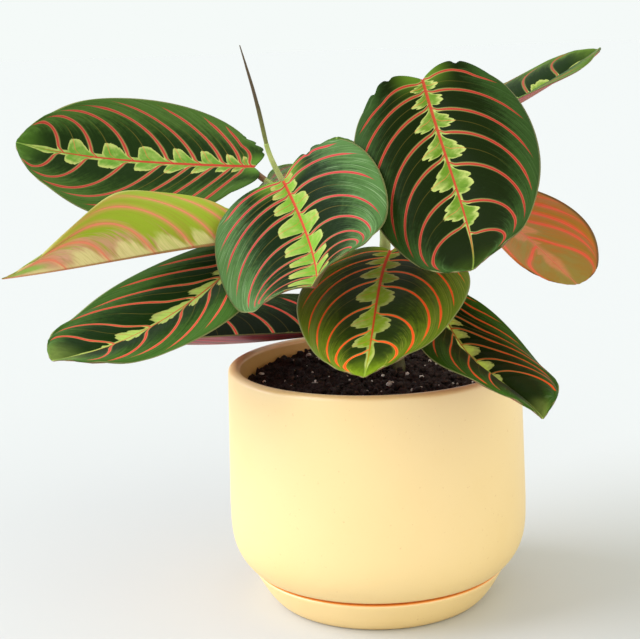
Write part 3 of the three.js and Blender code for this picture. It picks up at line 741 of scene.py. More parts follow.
def lobe_reach(wire, part, paint):
    """How far the lime reaches from the midrib, in mm: between each two veins one lobe of three
    teeth with ragged edges, a sliver along the tip side of each vein, and a neck all along. The
    skew makes it longer on one half and shorter on the other."""
    between, chance = part.between, part.chance
    peak = chance * 0.12 + (paint.peak - 0.06)
    main = tooth(between, peak, paint.broad, paint.blunt) * (chance * 0.3 + 0.85)
    first = tooth(between, peak - 0.20, 0.20, 1.3) * (0.98 - chance * 0.4)
    last = tooth(between, peak + 0.19, 0.15, 1.2) * (chance * 0.35 + 0.5)
    lobe = wire.maths("MAXIMUM", wire.maths("MAXIMUM", main, first), last)
    along = part.row.step(-0.3, 0.25) * part.row.step(paint.end, paint.end - 0.28)
    along = along * (part.sign * paint.skew + 1)
    ragged = (part.place.noise(430) - 0.5) * 2.4 + (part.place.noise(1100, 1) - 0.5)
    open_bay = between.step(0.0, 0.09) * between.step(1.0, 0.93)
    sliver = part.past.step(1.9, 0.2) * paint.lobes * 0.6
    reach = wire.maths("MAXIMUM", lobe * open_bay * (ragged + paint.lobes), sliver)
    return (reach + paint.neck) * along + 0.35


def blade_colour(wire, part, paint, middle_vein):
    """The blade between its veins: dark inside and greener towards the margin and beside the
    veins, in streaks, with pale lines, lime at the base and tip, and fine middle veins."""
    side, row = part.side, part.row
    outward = side.step(paint.clear, 1.0)
    mottle = (part.place.noise(330, 4, 0.7) - 0.5) * 0.5
    greener = outward * 0.8 + (part.streaks - 0.5) * (outward * 0.9 + 0.35) + mottle
    greener = greener + part.distance.step(2.2, 0.3) * 0.1
    base_lime = row.step(0.08, 0.0) * side.step(0.55, 0.1) * 0.8
    tip_lime = row.step(0.84, 1.0) * (part.streaks + 0.3) * paint.tip
    return layered(
        greener.step(0.0, 0.85).mix(paint.dark, paint.green),
        # pale lines; on leaf_front_left they also carry a painted sheen
        (part.fine.step(0.56, 0.74) * side.step(0.3, 0.9) * paint.lines, paint.line),
        (wire.maths("MAXIMUM", base_lime, tip_lime), paint.lime),
        (middle_vein * side.step(0.75, 0.35) * 0.55 * paint.spine, FINE_VEIN))


def lobe_colour(part, paint, pale, inside, middle_vein):
    """The lime lobes: paler at their edge, away from the midrib and in blotches, with green
    streaks and a reddish middle vein."""
    paler = inside.step(3.0, 0.2) * 0.55 + part.across.step(1.0, 9.0) * 0.25
    paler = paler + (part.place.noise(260, 3) - 0.5) * 1.3
    return layered(
        paler.step(-0.15, 0.85).mix(paint.lime, pale),
        (part.fine.step(0.5, 0.8) * 0.3, paint.green),
        (middle_vein * 0.6, LOBE_VEIN))


def upper_material(name, look, paint):
    """Upper face: a dark green blade, lime lobes along the midrib, coral veins with a pale border and a
    deeper core, the midrib, and a thin pale margin, partly its own colour and partly a painted highlight
    where light catches the edge."""
    material, wire = start_material(name)
    part = blade_pattern(wire, paint)
    place, side, row, across = part.place, part.side, part.row, part.across
    half = vein_half_width(part, paint.vein, 0.80, 0.97)
    veins = (part.distance - half).step(0.14, -0.14)
    core = (part.distance - half * 0.45).step(0.22, -0.12)
    border = (part.distance - half).step(0.7, 0.15) * side.step(0.7, 0.05)
    midrib = (across - ((1 - row) * paint.rib + 0.25)).step(0.16, -0.16)
    inside = lobe_reach(wire, part, paint) - across
    lime = inside.step(-0.3, 0.3)
    from_middle = abs(part.between - 0.5) * part.spacing
    middle_vein = from_middle.step(0.30, 0.10) * part.chance.step(0.35, 0.45)

    colour = layered(
        blade_colour(wire, part, paint, middle_vein),
        (lime, lobe_colour(part, paint, look.pale, inside, middle_vein)),
        (border * 0.45, look.pale),
        (veins * 0.95, core.mix(paint.vein_edge, paint.vein_colour)),
        (midrib * 0.9, row.step(0.70, 0.98).mix(paint.rib_colour, paint.lime)),
        # thin pale margin, partly a painted highlight along the edge
        (side.step(0.978, 0.998) * 0.6, PALE_MARGIN_AND_GLINT))
    height = part.streaks * 0.10 + part.fine * 0.05 - veins * 0.08 + lime * 0.02
    height = height + place.noise(900) * 0.02
    roughness = place.noise(120) * 0.16 + 0.38 + lime * 0.06
    return finish_material(material, colour, roughness, height, MM, 0.035)


def under_material(name, paint):
    """Lower face: a paler ground that shades into another colour towards the tip, patches, the
    lobes of the upper face showing through, raised veins in coral and fine streaks along them."""
    material, wire = start_material(name)
    part = blade_pattern(wire, paint)
    half = vein_half_width(part, paint.width, 0.72, 0.98)
    veins = (part.distance - half).step(0.25, -0.2)
    halo = (part.distance - half).step(2.4, 0.0)
    midrib = (part.across - (1 - part.row) * 0.6 - 0.3).step(0.25, -0.25)
    fade = part.row + (part.streaks - 0.5) * 0.9 + part.side * paint.outward
    blotch = part.streaks * 0.6 + part.place.noise(60) * 0.5 + part.across.step(18, 2) * 0.22
    inside = lobe_reach(wire, part, SimpleNamespace(**USUAL_PAINT)) - part.across
    lobes = inside.step(-2.8, 2.8) * (part.streaks + 0.3)
    rolled = part.row.step(0.78, 0.86) * part.side.step(0.12, 0.34)
    colour = layered(
        fade.step(paint.of_ground, paint.of_far).mix(paint.ground, paint.far),
        (blotch.step(0.56, 0.78) * paint.patchy, paint.patch),
        (lobes.step(0.0, 1.0) * paint.through, paint.lobe),
        (rolled * paint.roll, ROLLED_MARGIN),
        (part.fine.step(0.5, 0.75) * 0.3, paint.patch),
        (halo * 0.4, paint.vein),
        (veins * 0.85, paint.vein),
        (midrib * 0.6, paint.rib),
        (part.side.step(0.94, 0.985) * 0.8, paint.edge))
    height = part.streaks * 0.12 + veins * 0.14 + midrib * 0.2
    roughness = part.place.noise(120) * 0.16 + 0.42
    return finish_material(material, colour, roughness, height, MM, 0.15)


# Upper faces. dark is the blade near the midrib and green near the margin, and it stays dark up
# to the share clear of the half width. line is the pale lines and lime the lobes. vein is the
# veins' width and rib half the midrib's, in mm. A lobe peaks at peak between two veins, is half
# as wide as broad says, pointed or blunt, and reaches lobes mm. neck is the lime along the
# midrib in mm, end the share of the length where the lobes stop, and skew what one half has
# more of them than the other. The veins lean by slant mm where they leave the midrib, over join
# mm across. lines, tip and spine say how strongly the pale lines, the lime tip and the fine
# middle veins show.
USUAL_PAINT = dict(
    dark=rgb(22, 34, 8), green=rgb(58, 84, 34), clear=0.3, line=rgb(104, 132, 78), lime=rgb(104, 142, 44),
    vein_colour=rgb(196, 40, 40), vein_edge=rgb(204, 92, 76), vein=1.2, rib_colour=rgb(178, 46, 42), rib=0.7,
    peak=0.48, broad=0.34, blunt=1.5, lobes=7.0, neck=1.3, end=0.98, skew=0.0, slant=2.2, join=5.0,
    lines=0.35, tip=0.5, spine=0.5)
PAINTS = {
    "leaf_upper_left": dict(
        dark=rgb(24, 42, 10), green=rgb(66, 94, 36), clear=0.2, lime=rgb(96, 138, 46), peak=0.40, broad=0.36,
        blunt=2.6, lobes=7.5, neck=2.2, vein_colour=rgb(166, 52, 42), vein_edge=rgb(180, 92, 70), vein=1.6,
        rib=1.1),
    "leaf_front_right": dict(
        dark=rgb(16, 28, 0), green=rgb(46, 72, 26), clear=0.45, lime=rgb(92, 124, 32), peak=0.50, broad=0.31,
        blunt=1.2, lobes=8.2, neck=1.2, end=0.86, vein_colour=rgb(154, 38, 30), vein_edge=rgb(170, 82, 56),
        rib_colour=rgb(172, 54, 40), vein=1.4, lines=0.2, tip=0.2, spine=0.25),
    # partly painted sheen: this leaf's grey-green and its stronger pale lines stand in part for the sheen of
    # light on it
    "leaf_front_left": dict(
        dark=rgb(18, 34, 10), green=rgb(78, 112, 58), clear=0.32, line=rgb(146, 170, 122),
        lime=rgb(120, 166, 54), vein_colour=rgb(180, 46, 48), vein_edge=rgb(192, 96, 84),
        rib_colour=rgb(196, 60, 50), peak=0.46, broad=0.42, blunt=4.0, lobes=9.5, neck=1.8, end=1.1,
        vein=1.3, rib=0.95, lines=0.6),
    # partly painted light: this leaf's bright orange veins are raised to offset the shade that falls on it
    "leaf_front_centre": dict(
        dark=rgb(34, 48, 8), green=rgb(98, 118, 22), clear=0.2, line=rgb(150, 150, 54),
        lime=rgb(128, 156, 24), vein_colour=rgb(255, 78, 24), vein_edge=rgb(240, 112, 46),
        rib_colour=rgb(206, 52, 30), peak=0.46, neck=1.8, vein=1.3, rib=0.85, lines=0.8, tip=0.8),
    "leaf_lower_left": dict(
        dark=rgb(20, 42, 8), green=rgb(62, 96, 34), lime=rgb(174, 200, 94), peak=0.5, broad=0.3, lobes=8.0,
        neck=1.8, skew=0.4, slant=6.0, join=16.0, vein_colour=rgb(204, 60, 44),
        vein_edge=rgb(214, 108, 78), vein=1.5, rib_colour=rgb(196, 90, 56), rib=1.0, tip=0.4),
    # partly painted shade: this leaf's very dark green stands in part for the shadow it lies in
    "leaf_back_left": dict(
        dark=rgb(14, 22, 4), green=rgb(30, 44, 12), lobes=3.0, neck=0.6, vein_colour=rgb(190, 50, 34),
        spine=0.2),
    # partly painted light: this leaf's very light lime is raised to offset the shade its lobes sit in
    "leaf_lower_right": dict(
        dark=rgb(20, 34, 2), green=rgb(48, 80, 14), lime=rgb(212, 232, 108), lobes=4.5, neck=0.9,
        end=0.75, slant=9.0, join=20.0, vein_colour=rgb(220, 72, 24), vein_edge=rgb(194, 90, 44),
        vein=1.0, rib_colour=rgb(180, 96, 52), tip=0.2),
    "leaf_upper_right": dict(
        dark=rgb(24, 42, 12), green=rgb(82, 108, 36), lime=rgb(108, 138, 46), lobes=6.5,
        vein_colour=rgb(156, 70, 50), vein_edge=rgb(150, 88, 60)),
}

# Lower faces. ground is the colour near the base and far the one towards the tip, and one
# becomes the other between the shares of_ground and of_far of the length, earlier or later at
# the margin by outward. patch is the patches and streaks, and lobe the lobes that show through.
# width is the veins' width, and slant and join are as above. patchy, through and roll say how
# strongly the patches, the lobes and the green of the rolled margin near the tip show.
USUAL_UNDER = dict(
    ground=rgb(150, 70, 84), far=rgb(128, 74, 70), of_ground=0.25, of_far=0.85, outward=0.1,
    patch=rgb(110, 92, 58), patchy=0.3, lobe=rgb(170, 104, 92), through=0.45, vein=rgb(204, 70, 84),
    rib=rgb(188, 100, 96), edge=rgb(104, 112, 60), width=1.3, slant=0.8, join=5.0, roll=0.0)
UNDERSIDES = {
    "leaf_young_folded": dict(
        ground=rgb(148, 166, 36), far=rgb(214, 158, 132), of_far=0.58, outward=-0.32,
        patch=rgb(150, 130, 40), patchy=0.35, lobe=rgb(220, 208, 140), through=0.85,
        vein=rgb(226, 128, 96), rib=rgb(208, 108, 78), edge=rgb(176, 172, 92), width=1.0, roll=0.95),
    # partly painted light: this underside's bright orange and coral are raised to stand for light shining
    # through the blade from behind
    "leaf_back_right": dict(
        ground=rgb(206, 114, 16), far=rgb(172, 130, 36), of_ground=0.3, of_far=1.0, outward=0.45,
        patch=rgb(160, 150, 66), patchy=0.5, lobe=rgb(244, 144, 98), through=0.8,
        vein=rgb(255, 98, 62), rib=rgb(244, 126, 92), edge=rgb(92, 76, 40), width=2.3,
        slant=7.0, join=20.0),
    # partly painted light: this underside's colours are lightened to offset the shade it sits in
    "leaf_back": dict(
        ground=rgb(126, 176, 80), far=rgb(140, 156, 84), of_ground=0.3, of_far=1.0, outward=0.2,
        patch=rgb(136, 150, 84), lobe=rgb(168, 190, 104), vein=rgb(216, 104, 84),
        rib=rgb(190, 120, 84), edge=rgb(80, 90, 46)),
    "leaf_upper_right": dict(
        ground=rgb(196, 80, 66), far=rgb(176, 92, 66), lobe=rgb(206, 112, 84)),
    "leaf_front_left": dict(edge=rgb(112, 140, 78), far=rgb(120, 104, 66)),
}


def turned_piece(name, profile, material):
    """A profile of radius and height in mm, closed on itself, turned about the Z axis."""
    turn = np.linspace(0, 2 * np.pi, TURN_STEPS, endpoint=False)
    radius, height = (profile[:, column, None] * MM for column in (0, 1))
    points = np.stack([radius * np.cos(turn), radius * np.sin(turn), height + 0 * turn], -1).reshape(-1, 3)
    faces = grid_faces(len(profile), TURN_STEPS, True, True)
    return mesh_piece(name, points, faces, [material])


def outer_radius(height):
    """The pot's outside: nearly straight from the rim to the belly, then turning in to the seam
    by a power of the depth below the belly."""
    rise = height - BELLY_HEIGHT
    upper = BELLY_RADIUS + (RIM_RADIUS - BELLY_RADIUS) * rise / (RIM_HEIGHT - BELLY_HEIGHT)
    depth = np.clip(-rise / (BELLY_HEIGHT - SEAM_HEIGHT), 0, 1.1)
    lower = BELLY_RADIUS - (BELLY_RADIUS - SEAM_RADIUS) * depth ** TURN_IN_POWER
    return np.where(rise >= 0, upper, lower)


def arc_points(centre, radius, start, end, count):
    """Points of an elliptic arc, as rows of radius and height."""
    turn = np.radians(np.linspace(start, end, count))
    return np.stack([centre[0] + radius[0] * np.cos(turn), centre[1] + radius[1] * np.sin(turn)], -1)


def pot_profile():
    """Outside wall, rounded lip, inside wall, floor with its hole, and the foot ring."""
    lip_height = RIM_HEIGHT - LIP_ROUND
    floor_top = POT_BOTTOM + POT_FLOOR
    foot = SAUCER_FLOOR + FOOT_GAP
    outside = np.concatenate([
        np.linspace(POT_BOTTOM + 1, BELLY_HEIGHT, 24), np.linspace(BELLY_HEIGHT, lip_height, 12)[1:]])
    inside = np.concatenate([
        np.linspace(lip_height, BELLY_HEIGHT, 14), np.linspace(BELLY_HEIGHT, floor_top + 3, 14)[1:]])
    lip = arc_points((RIM_RADIUS - WALL / 2, lip_height), (WALL / 2, LIP_ROUND), 10, 170, 13)
    across, up = POT_EDGE_ROUND
    edge = arc_points((SEAM_RADIUS - across, POT_BOTTOM + up), POT_EDGE_ROUND, -90, -5, 6)
    start = [(DRAIN_RADIUS, POT_BOTTOM), (FOOT_INNER, POT_BOTTOM), (FOOT_INNER, foot), (FOOT_OUTER, foot),
             (FOOT_OUTER, POT_BOTTOM)]
    end = [(outer_radius(floor_top) - WALL - 3, floor_top), (DRAIN_RADIUS, floor_top)]
    return np.concatenate([
        start, edge, np.stack([outer_radius(outside), outside], -1), lip,
        np.stack([outer_radius(inside) - WALL, inside], -1), end])


def saucer_profile():
    """Base, a side that bulges out to the seam by a power of its height, a rounded edge, and the
    inside with its floor."""
    share = np.linspace(0, 1, 18) ** 1.5
    round_from = SAUCER_TOP - SAUCER_ROUND
    radius = SAUCER_BASE_RADIUS + (SEAM_RADIUS - SAUCER_BASE_RADIUS) * share ** SAUCER_POWER
    side = np.stack([radius, round_from * share], -1)
    rounding = (SAUCER_ROUND, SAUCER_ROUND)
    edge = arc_points((SEAM_RADIUS - SAUCER_ROUND, round_from), rounding, 15, 90, 6)
    inner = arc_points((SEAM_RADIUS - SAUCER_WALL + SAUCER_ROUND, round_from), rounding, 90, 180, 6)
    bowl = [(SEAM_RADIUS - SAUCER_WALL - 2, SAUCER_TOP - 4), (FOOT_OUTER + 6, SAUCER_FLOOR + 1),
            (FOOT_OUTER + 4, SAUCER_FLOOR)]
    centre = [(0.5, SAUCER_FLOOR), (0.5, 0)]
    return np.concatenate([side, edge, inner, bowl, centre])


def ceramic_material(look):
    """Matte pale yellow ceramic: soft mottling, sparse darker specks, a fine grain, a lighter orange inside
    the mouth as painted bounce light, soil marks there, and glaze gathered along the seam."""
    material, wire = start_material("ceramic")
    place = object_coordinates(wire)
    x, y, height = (place.axis(number) for number in range(3))
    radius = wire.maths("SQRT", x * x + y * y)
    inside = radius.step((RIM_RADIUS - 4.6) * MM, (RIM_RADIUS - 5.6) * MM) * height.step(0.03, 0.04)
    mottle = place.noise(14, 3).step(0.35, 0.75) * 0.22 + place.noise(60, 4, 0.7).step(0.5, 0.8) * 0.12
    smear = (place.noise(70, 4, 0.7) + height.step(0.114, 0.104) * 0.3).step(0.66, 0.8) * inside
    outside = radius.step((SEAM_RADIUS + 0.9) * MM, (SEAM_RADIUS + 0.5) * MM)
    seam = abs(height - SEAM_HEIGHT * MM).step(1.3 * MM, 0.4 * MM) * outside
    colour = layered(
        mottle.mix(look.glaze, look.deep),
        (place.noise(520).step(0.70, 0.76) * 0.35, SPECK),
        # painted bounce light over the inside of the mouth
        (inside * 0.85, MOUTH_BOUNCE_LIGHT),
        (smear * 0.55, SOIL_SMEAR),
        (seam * 0.9, GATHERED_GLAZE))
    grain = place.noise(1500, 3, 0.6) + place.noise(240, 3) * 0.8
    roughness = place.noise(40) * 0.08 + 0.44
    shader_inputs(material)["IOR"].default_value = GLAZE_IOR
    return finish_material(material, colour, roughness, grain, look.grain, 1.0)


def soil_top(x, y):
    """Height of the soil in mm: it rises to the back and to the middle, with broad lumps."""
    radius = RIM_RADIUS - WALL
    share = np.minimum(1, np.hypot(x, y) / radius)
    lumps = np.sin(x * 0.31 + 1) * np.sin(y * 0.27) + 0.6 * np.sin(x * 0.62 - y * 0.49)
    return SOIL_LEVEL + SOIL_SLOPE * y / radius + SOIL_MOUND * (1 - share ** 2) + SOIL_LUMP * lumps


def fine_relief(x, y, generator):
    """Small bumps: the sum of many short waves in random directions, the longer ones higher,
    brought to a spread of 1."""
    total = np.zeros_like(x)
    for _ in range(SOIL_WAVES):
        heading = generator.uniform(0, 2 * np.pi)
        length = generator.uniform(2.0, 9.0)
        phase = generator.uniform(0, 2 * np.pi)
        way = x * np.cos(heading) + y * np.sin(heading)
        total += length ** 0.7 * np.sin(2 * np.pi * way / length + phase)
    return total / total.std()


def soil_piece(material):
    """The soil as a closed body: rings from the middle of its underside, up the wall and in over
    the top to the middle, where fine relief is added."""
    generator = np.random.default_rng(SOIL_SEED)
    base = POT_BOTTOM + POT_FLOOR + 0.4
    wall = np.linspace(base + 2, 100, 12)
    wall_radius = outer_radius(wall) - WALL - SOIL_CLEARANCE
    top_radius = float(outer_radius(np.array(SOIL_LEVEL))) - WALL - SOIL_CLEARANCE
    top = np.linspace(top_radius, 0, SOIL_RINGS)
    radius = np.concatenate([[0, wall_radius[0] - 2], wall_radius, top])
    height = np.concatenate([[base, base], wall, np.zeros(SOIL_RINGS)])
    turn = np.linspace(0, 2 * np.pi, SOIL_STEPS, endpoint=False)
    x = radius[:, None] * np.cos(turn)
    y = radius[:, None] * np.sin(turn)
    z = height[:, None] + 0 * turn
    surface = soil_top(x, y) + SOIL_RELIEF * fine_relief(x, y, generator)
    z[-SOIL_RINGS:] = surface[-SOIL_RINGS:]
    z[-1] = z[-1].mean()
    points = np.stack([x, y, z], -1).reshape(-1, 3) * MM
    points, faces = used_points(points, ring_faces(pinched_rings(*x.shape)))
    return mesh_piece("potting_soil", points, faces, [material])


def lump_shapes(count, sizes, generator):
    """Small closed lumps: a coarse ball of 6 sides and 4 rings, flattened, each point pushed in
    or out, and each lump stretched and turned by chance."""
    turn = np.linspace(0, 2 * np.pi, 6, endpoint=False)
    tilt = np.linspace(-np.pi / 2, np.pi / 2, 5)[:, None]
    ball = np.stack([np.cos(tilt) * np.cos(turn), np.cos(tilt) * np.sin(turn), np.sin(tilt) + 0 * turn], -1)
    points, faces = used_points(ball.reshape(-1, 3), ring_faces(pinched_rings(*ball.shape[:2])))
    push = generator.uniform(*LUMP_VARIATION, (count, len(points), 1))
    stretch = generator.uniform(*LUMP_VARIATION, (count, 1, 3)) * np.array([1, 1, LUMP_FLATNESS])
    spin = generator.uniform(0, 2 * np.pi, count)
    x, y, z = np.moveaxis(points[None] * push * stretch * sizes[:, None, None], -1, 0)
    cos, sin = np.cos(spin)[:, None], np.sin(spin)[:, None]
    offsets = np.arange(count)[:, None, None] * len(points)
    return np.stack([x * cos - y * sin, x * sin + y * cos, z], -1), (faces[None] + offsets).reshape(-1, 4)


def scatter_piece(name, count, size_range, seed, material):
    """Lumps of random sizes, most of them small, strewn over the soil and sunk into it."""
    generator = np.random.default_rng(seed)
    low, high = size_range
    sizes = low + (high - low) * generator.uniform(0, 1, count) ** 2.5
    shapes, faces = lump_shapes(count, sizes, generator)
    radius = (RIM_RADIUS - WALL - LUMP_INSET) * np.sqrt(generator.uniform(0, 1, count))
    turn = generator.uniform(0, 2 * np.pi, count)
    x, y = radius * np.cos(turn), radius * np.sin(turn)
    z = soil_top(x, y) + sizes * 0.35 + 0.4
    points = shapes + np.stack([x, y, z], -1)[:, None]
    return mesh_piece(name, points.reshape(-1, 3) * MM, faces, [material])


def soil_material(look):
    """Moist dark soil with browner crumbs and a coarse grain."""
    material, wire = start_material("soil")
    place = object_coordinates(wire)
    crumbs = place.noise(900, 4, 0.7)
    colour = crumbs.step(0.35, 0.8).mix(DAMP_SOIL, look.earth)
    colour = place.noise(300, 3).step(0.62, 0.75).mix(colour, BARK)
    height = crumbs + place.noise(2600) * 0.5
    roughness = place.noise(200) * 0.2 + 0.75
    return finish_material(material, colour, roughness, height, 0.5 * MM, 0.3)


def perlite_material(look):
    """Chalky white grains with soil on them."""
    material, wire = start_material("perlite")
    place = object_coordinates(wire)
    colour = place.noise(700, 3).step(0.45, 0.75).mix(look.white, DUSTY_PERLITE)
    roughness = place.noise(200) * 0.1 + 0.85
    return finish_material(material, colour, roughness, place.noise(3000, 3), 0.15 * MM, 0.3)


def smooth_route(points):
    """A smooth curve through the given points in mm: between each two of them a cubic that takes
    its slopes from their neighbours."""
    points = np.array(points, float)
    padded = np.concatenate([2 * points[:1] - points[1:2], points, 2 * points[-1:] - points[-2:-1]])
    place = np.linspace(0, len(points) - 1, 40 * (len(points) - 1) + 1)
    knot = np.minimum(place.astype(int), len(points) - 2)
    t = (place - knot)[:, None]
    a, b, c, d = (padded[knot + k] for k in range(4))
    square, cube = 2 * a - 5 * b + 4 * c - d, 3 * b - a - 3 * c + d
    return even_route(0.5 * (2 * b + (c - a) * t + square * t ** 2 + cube * t ** 3), STEM_POINTS)


def even_route(curve, count):
    """The curve as so many points, evenly spaced along its length."""
    lengths = np.concatenate([[0], np.cumsum(np.linalg.norm(np.diff(curve, axis=0), axis=1))])
    wanted = np.linspace(0, lengths[-1], count)
    return np.stack([np.interp(wanted, lengths, axis) for axis in curve.T], -1)


def bent_route(start, leave, arrive, end):
    """A cubic curve from start to end, pulled towards leave and arrive."""
    t = np.linspace(0, 1, STALK_POINTS)[:, None]
    curve = (1 - t) ** 3 * start + 3 * (1 - t) ** 2 * t * leave + 3 * (1 - t) * t ** 2 * arrive + t ** 3 * end
    return even_route(curve, STALK_POINTS)


def stalk_route(leaf, start, rise):
    """A stalk rises from its stem, bends over, and meets the blade at its base from below."""
    along, _, up = leaf_axes(leaf)
    arrive = unit(along * 0.6 + up * 0.75 * rise + np.array([0, 0, 0.5 * rise]))
    end = np.array(leaf["base"], float) - up * 1.0 + along * 0.8
    reach = np.linalg.norm(end - start)
    leave = start + np.array([0, 0, reach * max(0.1, 0.4 * rise)])
    return bent_route(start, leave, end - arrive * reach * 0.35, end)


def tube(route, radius, sides):
    """A closed tube along a route in mm. The rings turn as little as they can from one to the
    next, and the radius may vary along the route and round the tube."""
    tangent = unit(np.gradient(route, axis=0))
    side = np.zeros_like(route)
    side[0] = unit(np.cross(tangent[0], [0.3, 0.9, 0.1]))
    for place in range(1, len(route)):
        side[place] = unit(side[place - 1] - tangent[place] * np.dot(side[place - 1], tangent[place]))
    other = np.cross(tangent, side)
    turn = np.linspace(0, 2 * np.pi, sides, endpoint=False)
    ring = side[:, None] * np.cos(turn)[:, None] + other[:, None] * np.sin(turn)[:, None]
    points = route[:, None] + ring * np.asarray(radius).reshape(len(route), -1, 1)
    index = np.arange(len(route) * sides).reshape(-1, sides)
    ends = np.full((2, sides), index.size) + [[0], [1]]
    faces = ring_faces(np.concatenate([ends[:1], index, ends[1:]]))
    return np.concatenate([points.reshape(-1, 3), route[:1], route[-1:]]), faces


def stalk_tube(way, look):
    """A stalk: it widens to a sheath at its foot by a bell curve, thickens at the joint below the
    blade, and thins where it slips into it. along is 1 on the joint and low elsewhere."""
    place = np.linspace(0, 1, len(way))
    length = np.linalg.norm(np.diff(way, axis=0), axis=1).sum()
    to_blade = (1 - place) * length
    radius = look.stalk_radius / MM * (1 - STALK_THINNING * place)
    radius = radius + SHEATH_SWELLING * np.exp(-(place / SHEATH_REACH) ** 2)
    radius = radius + JOINT_SWELLING * smooth(to_blade, 0.5, 2.5) * (1 - smooth(to_blade, 8, 10))
    radius = radius * (IN_BLADE_SHARE + (1 - IN_BLADE_SHARE) * smooth(to_blade, 0, 2.5))
    along = np.repeat(np.where(to_blade < JOINT_LENGTH, 1.0, 0.3 + 0.3 * place), STALK_SIDES)
    return *tube(way, radius, STALK_SIDES), np.concatenate([along, [0.3, 1.0]])


def rolled_stalk(begin, look):
    """The stalk of the rolled leaf, which thins into the spear."""
    rise = unit(ROLLED_TIP - ROLLED_FOOT)
    reach = np.linalg.norm(ROLLED_FOOT - begin)
    leave = begin + np.array([0, 0, reach * 0.3])
    way = bent_route(begin, leave, ROLLED_FOOT - rise * reach * 0.4, ROLLED_FOOT + rise)
    points, faces = tube(way, np.linspace(look.stalk_radius / MM, 1.2, len(way)), STALK_SIDES)
    return points, faces, np.full(len(points), 0.4)


def stem_piece(name, stem, look, material):
    """A stem that thins upwards and swells by a bell curve where a stalk starts, with its stalks,
    all as one mesh."""
    route = smooth_route(stem["route"])
    place = np.linspace(0, 1, len(route))
    radius = look.stem_radius / MM * (1 - STEM_THINNING * place)
    for _, start, _ in stem["stalks"]:
        radius = radius + NODE_SWELLING * np.exp(-((place - start) / NODE_REACH) ** 2)
    points, faces = tube(route, radius, STALK_SIDES)
    parts = [(points, faces, np.zeros(len(points)))]
    for leaf_name, start, rise in stem["stalks"]:
        begin = route[int(start * (len(route) - 1))]
        parts.append(stalk_tube(stalk_route(LEAVES[leaf_name], begin, rise), look))
    if name == ROLLED_STEM:
        parts.append(rolled_stalk(route[int(ROLLED_START * (len(route) - 1))], look))
    offsets = np.cumsum([0] + [len(points) for points, _, _ in parts])
    points = np.concatenate([points for points, _, _ in parts])
    faces = np.concatenate([faces + offset for (_, faces, _), offset in zip(parts, offsets)])
    along = np.concatenate([along for _, _, along in parts])
    return mesh_piece(name + "_grown", points * MM, faces, [material], attributes={"along": along})


def stalk_material(look):
    """Smooth pale green stems with paler and reddish places, dark at the soil, and a brown-red
    joint below each blade."""
    material, wire = start_material("stalk")
    place = object_coordinates(wire)
    along = wire.attribute("along")
    colour = layered(
        place.noise(120, 3).step(0.3, 0.8).mix(look.green, PALE_STALK),
        (place.noise(340).step(0.55, 0.8) * 0.35, STALK_FLECK),
        (along.step(0.82, 0.95) * 0.85, look.joint),
        (place.axis(2).step(0.135, 0.119) * 0.85, STEM_FOOT))
    roughness = place.noise(200) * 0.15 + 0.42
    return finish_material(material, colour, roughness, place.noise(900, 3), 0.1 * MM, 0.4)


def rolled_leaf_piece(material):
    """The new leaf, rolled into a thin spear: rings whose radius grows round the turn, so that
    the outer edge overlaps as a raised line, which winds slowly round the spear."""
    middle = ROLLED_FOOT + (ROLLED_TIP - ROLLED_FOOT) * 0.5 + np.array(SPEAR_BOW)
    way = even_route(smooth_route([ROLLED_FOOT, middle, ROLLED_TIP]), SPEAR_POINTS)
    place = np.linspace(0, 1, SPEAR_POINTS)
    turn = np.linspace(0, 1, SPEAR_SIDES, endpoint=False)
    body = SPEAR_RADIUS + SPEAR_SWELLING * np.sin(np.pi * place ** 0.7) - SPEAR_THINNING * place ** 1.6
    spiral = 1 + SPEAR_OVERLAP * ((turn[None, :] + place[:, None] * SPEAR_WINDING) % 1.0)
    points, faces = tube(way, body[:, None] * spiral, SPEAR_SIDES)
    along = np.concatenate([np.repeat(place, SPEAR_SIDES), [0, 1]])
    return mesh_piece("leaf_rolled_spear", points * MM, faces, [material], attributes={"along": along})


def spear_material():
    """Olive green at the foot, browner to the tip, with darker flecks."""
    material, wire = start_material("rolled_leaf")
    place = object_coordinates(wire)
    along = wire.attribute("along")
    colour = along.step(0.0, 0.5).mix(SPEAR_FOOT, SPEAR_TIP)
    colour = (place.noise(500, 3).step(0.5, 0.75) * 0.4).mix(colour, SPEAR_FLECK)
    roughness = place.noise(200) * 0.15 + 0.45
    return finish_material(material, colour, roughness, place.noise(1500, 3), 0.1 * MM, 0.4)


class PLANT_OT_pot(bpy.types.Operator):
    """Make the ceramic pot and its saucer"""
    bl_idname = "plant.pot"
    bl_label = "Pot and Saucer"

    def execute(self, context):
        material = ceramic_material(context.scene.plant_pot)
        pot = turned_piece("pot_turned", pot_profile(), material)
        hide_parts("pot")
        saucer = turned_piece("saucer_turned", saucer_profile(), material)
        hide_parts("saucer")
        return {"FINISHED"}


class PLANT_OT_soil(bpy.types.Operator):
    """Make the soil, its crumbs and the perlite in it"""
    bl_idname = "plant.soil"
    bl_label = "Soil"

    def execute(self, context):
        look = context.scene.plant_soil
        earth = soil_material(look)
        soil = soil_piece(earth)
        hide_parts("soil")
        crumbs = scatter_piece("soil_crumbs", look.crumbs, CRUMB_SIZES, CRUMB_SEED, earth)
        perlite = scatter_piece(
            "perlite_grains", look.perlite, PERLITE_SIZES, PERLITE_SEED, perlite_material(look))
        return {"FINISHED"}


class PLANT_OT_stalks(bpy.types.Operator):
    """Make the stems with the leaves' stalks"""
    bl_idname = "plant.stalks"
    bl_label = "Stems and Stalks"

    def execute(self, context):
        look = context.scene.plant_stalks
        material = stalk_material(look)
        for name, stem in STEMS.items():
            piece = stem_piece(name, stem, look, material)
            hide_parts(name)
        return {"FINISHED"}


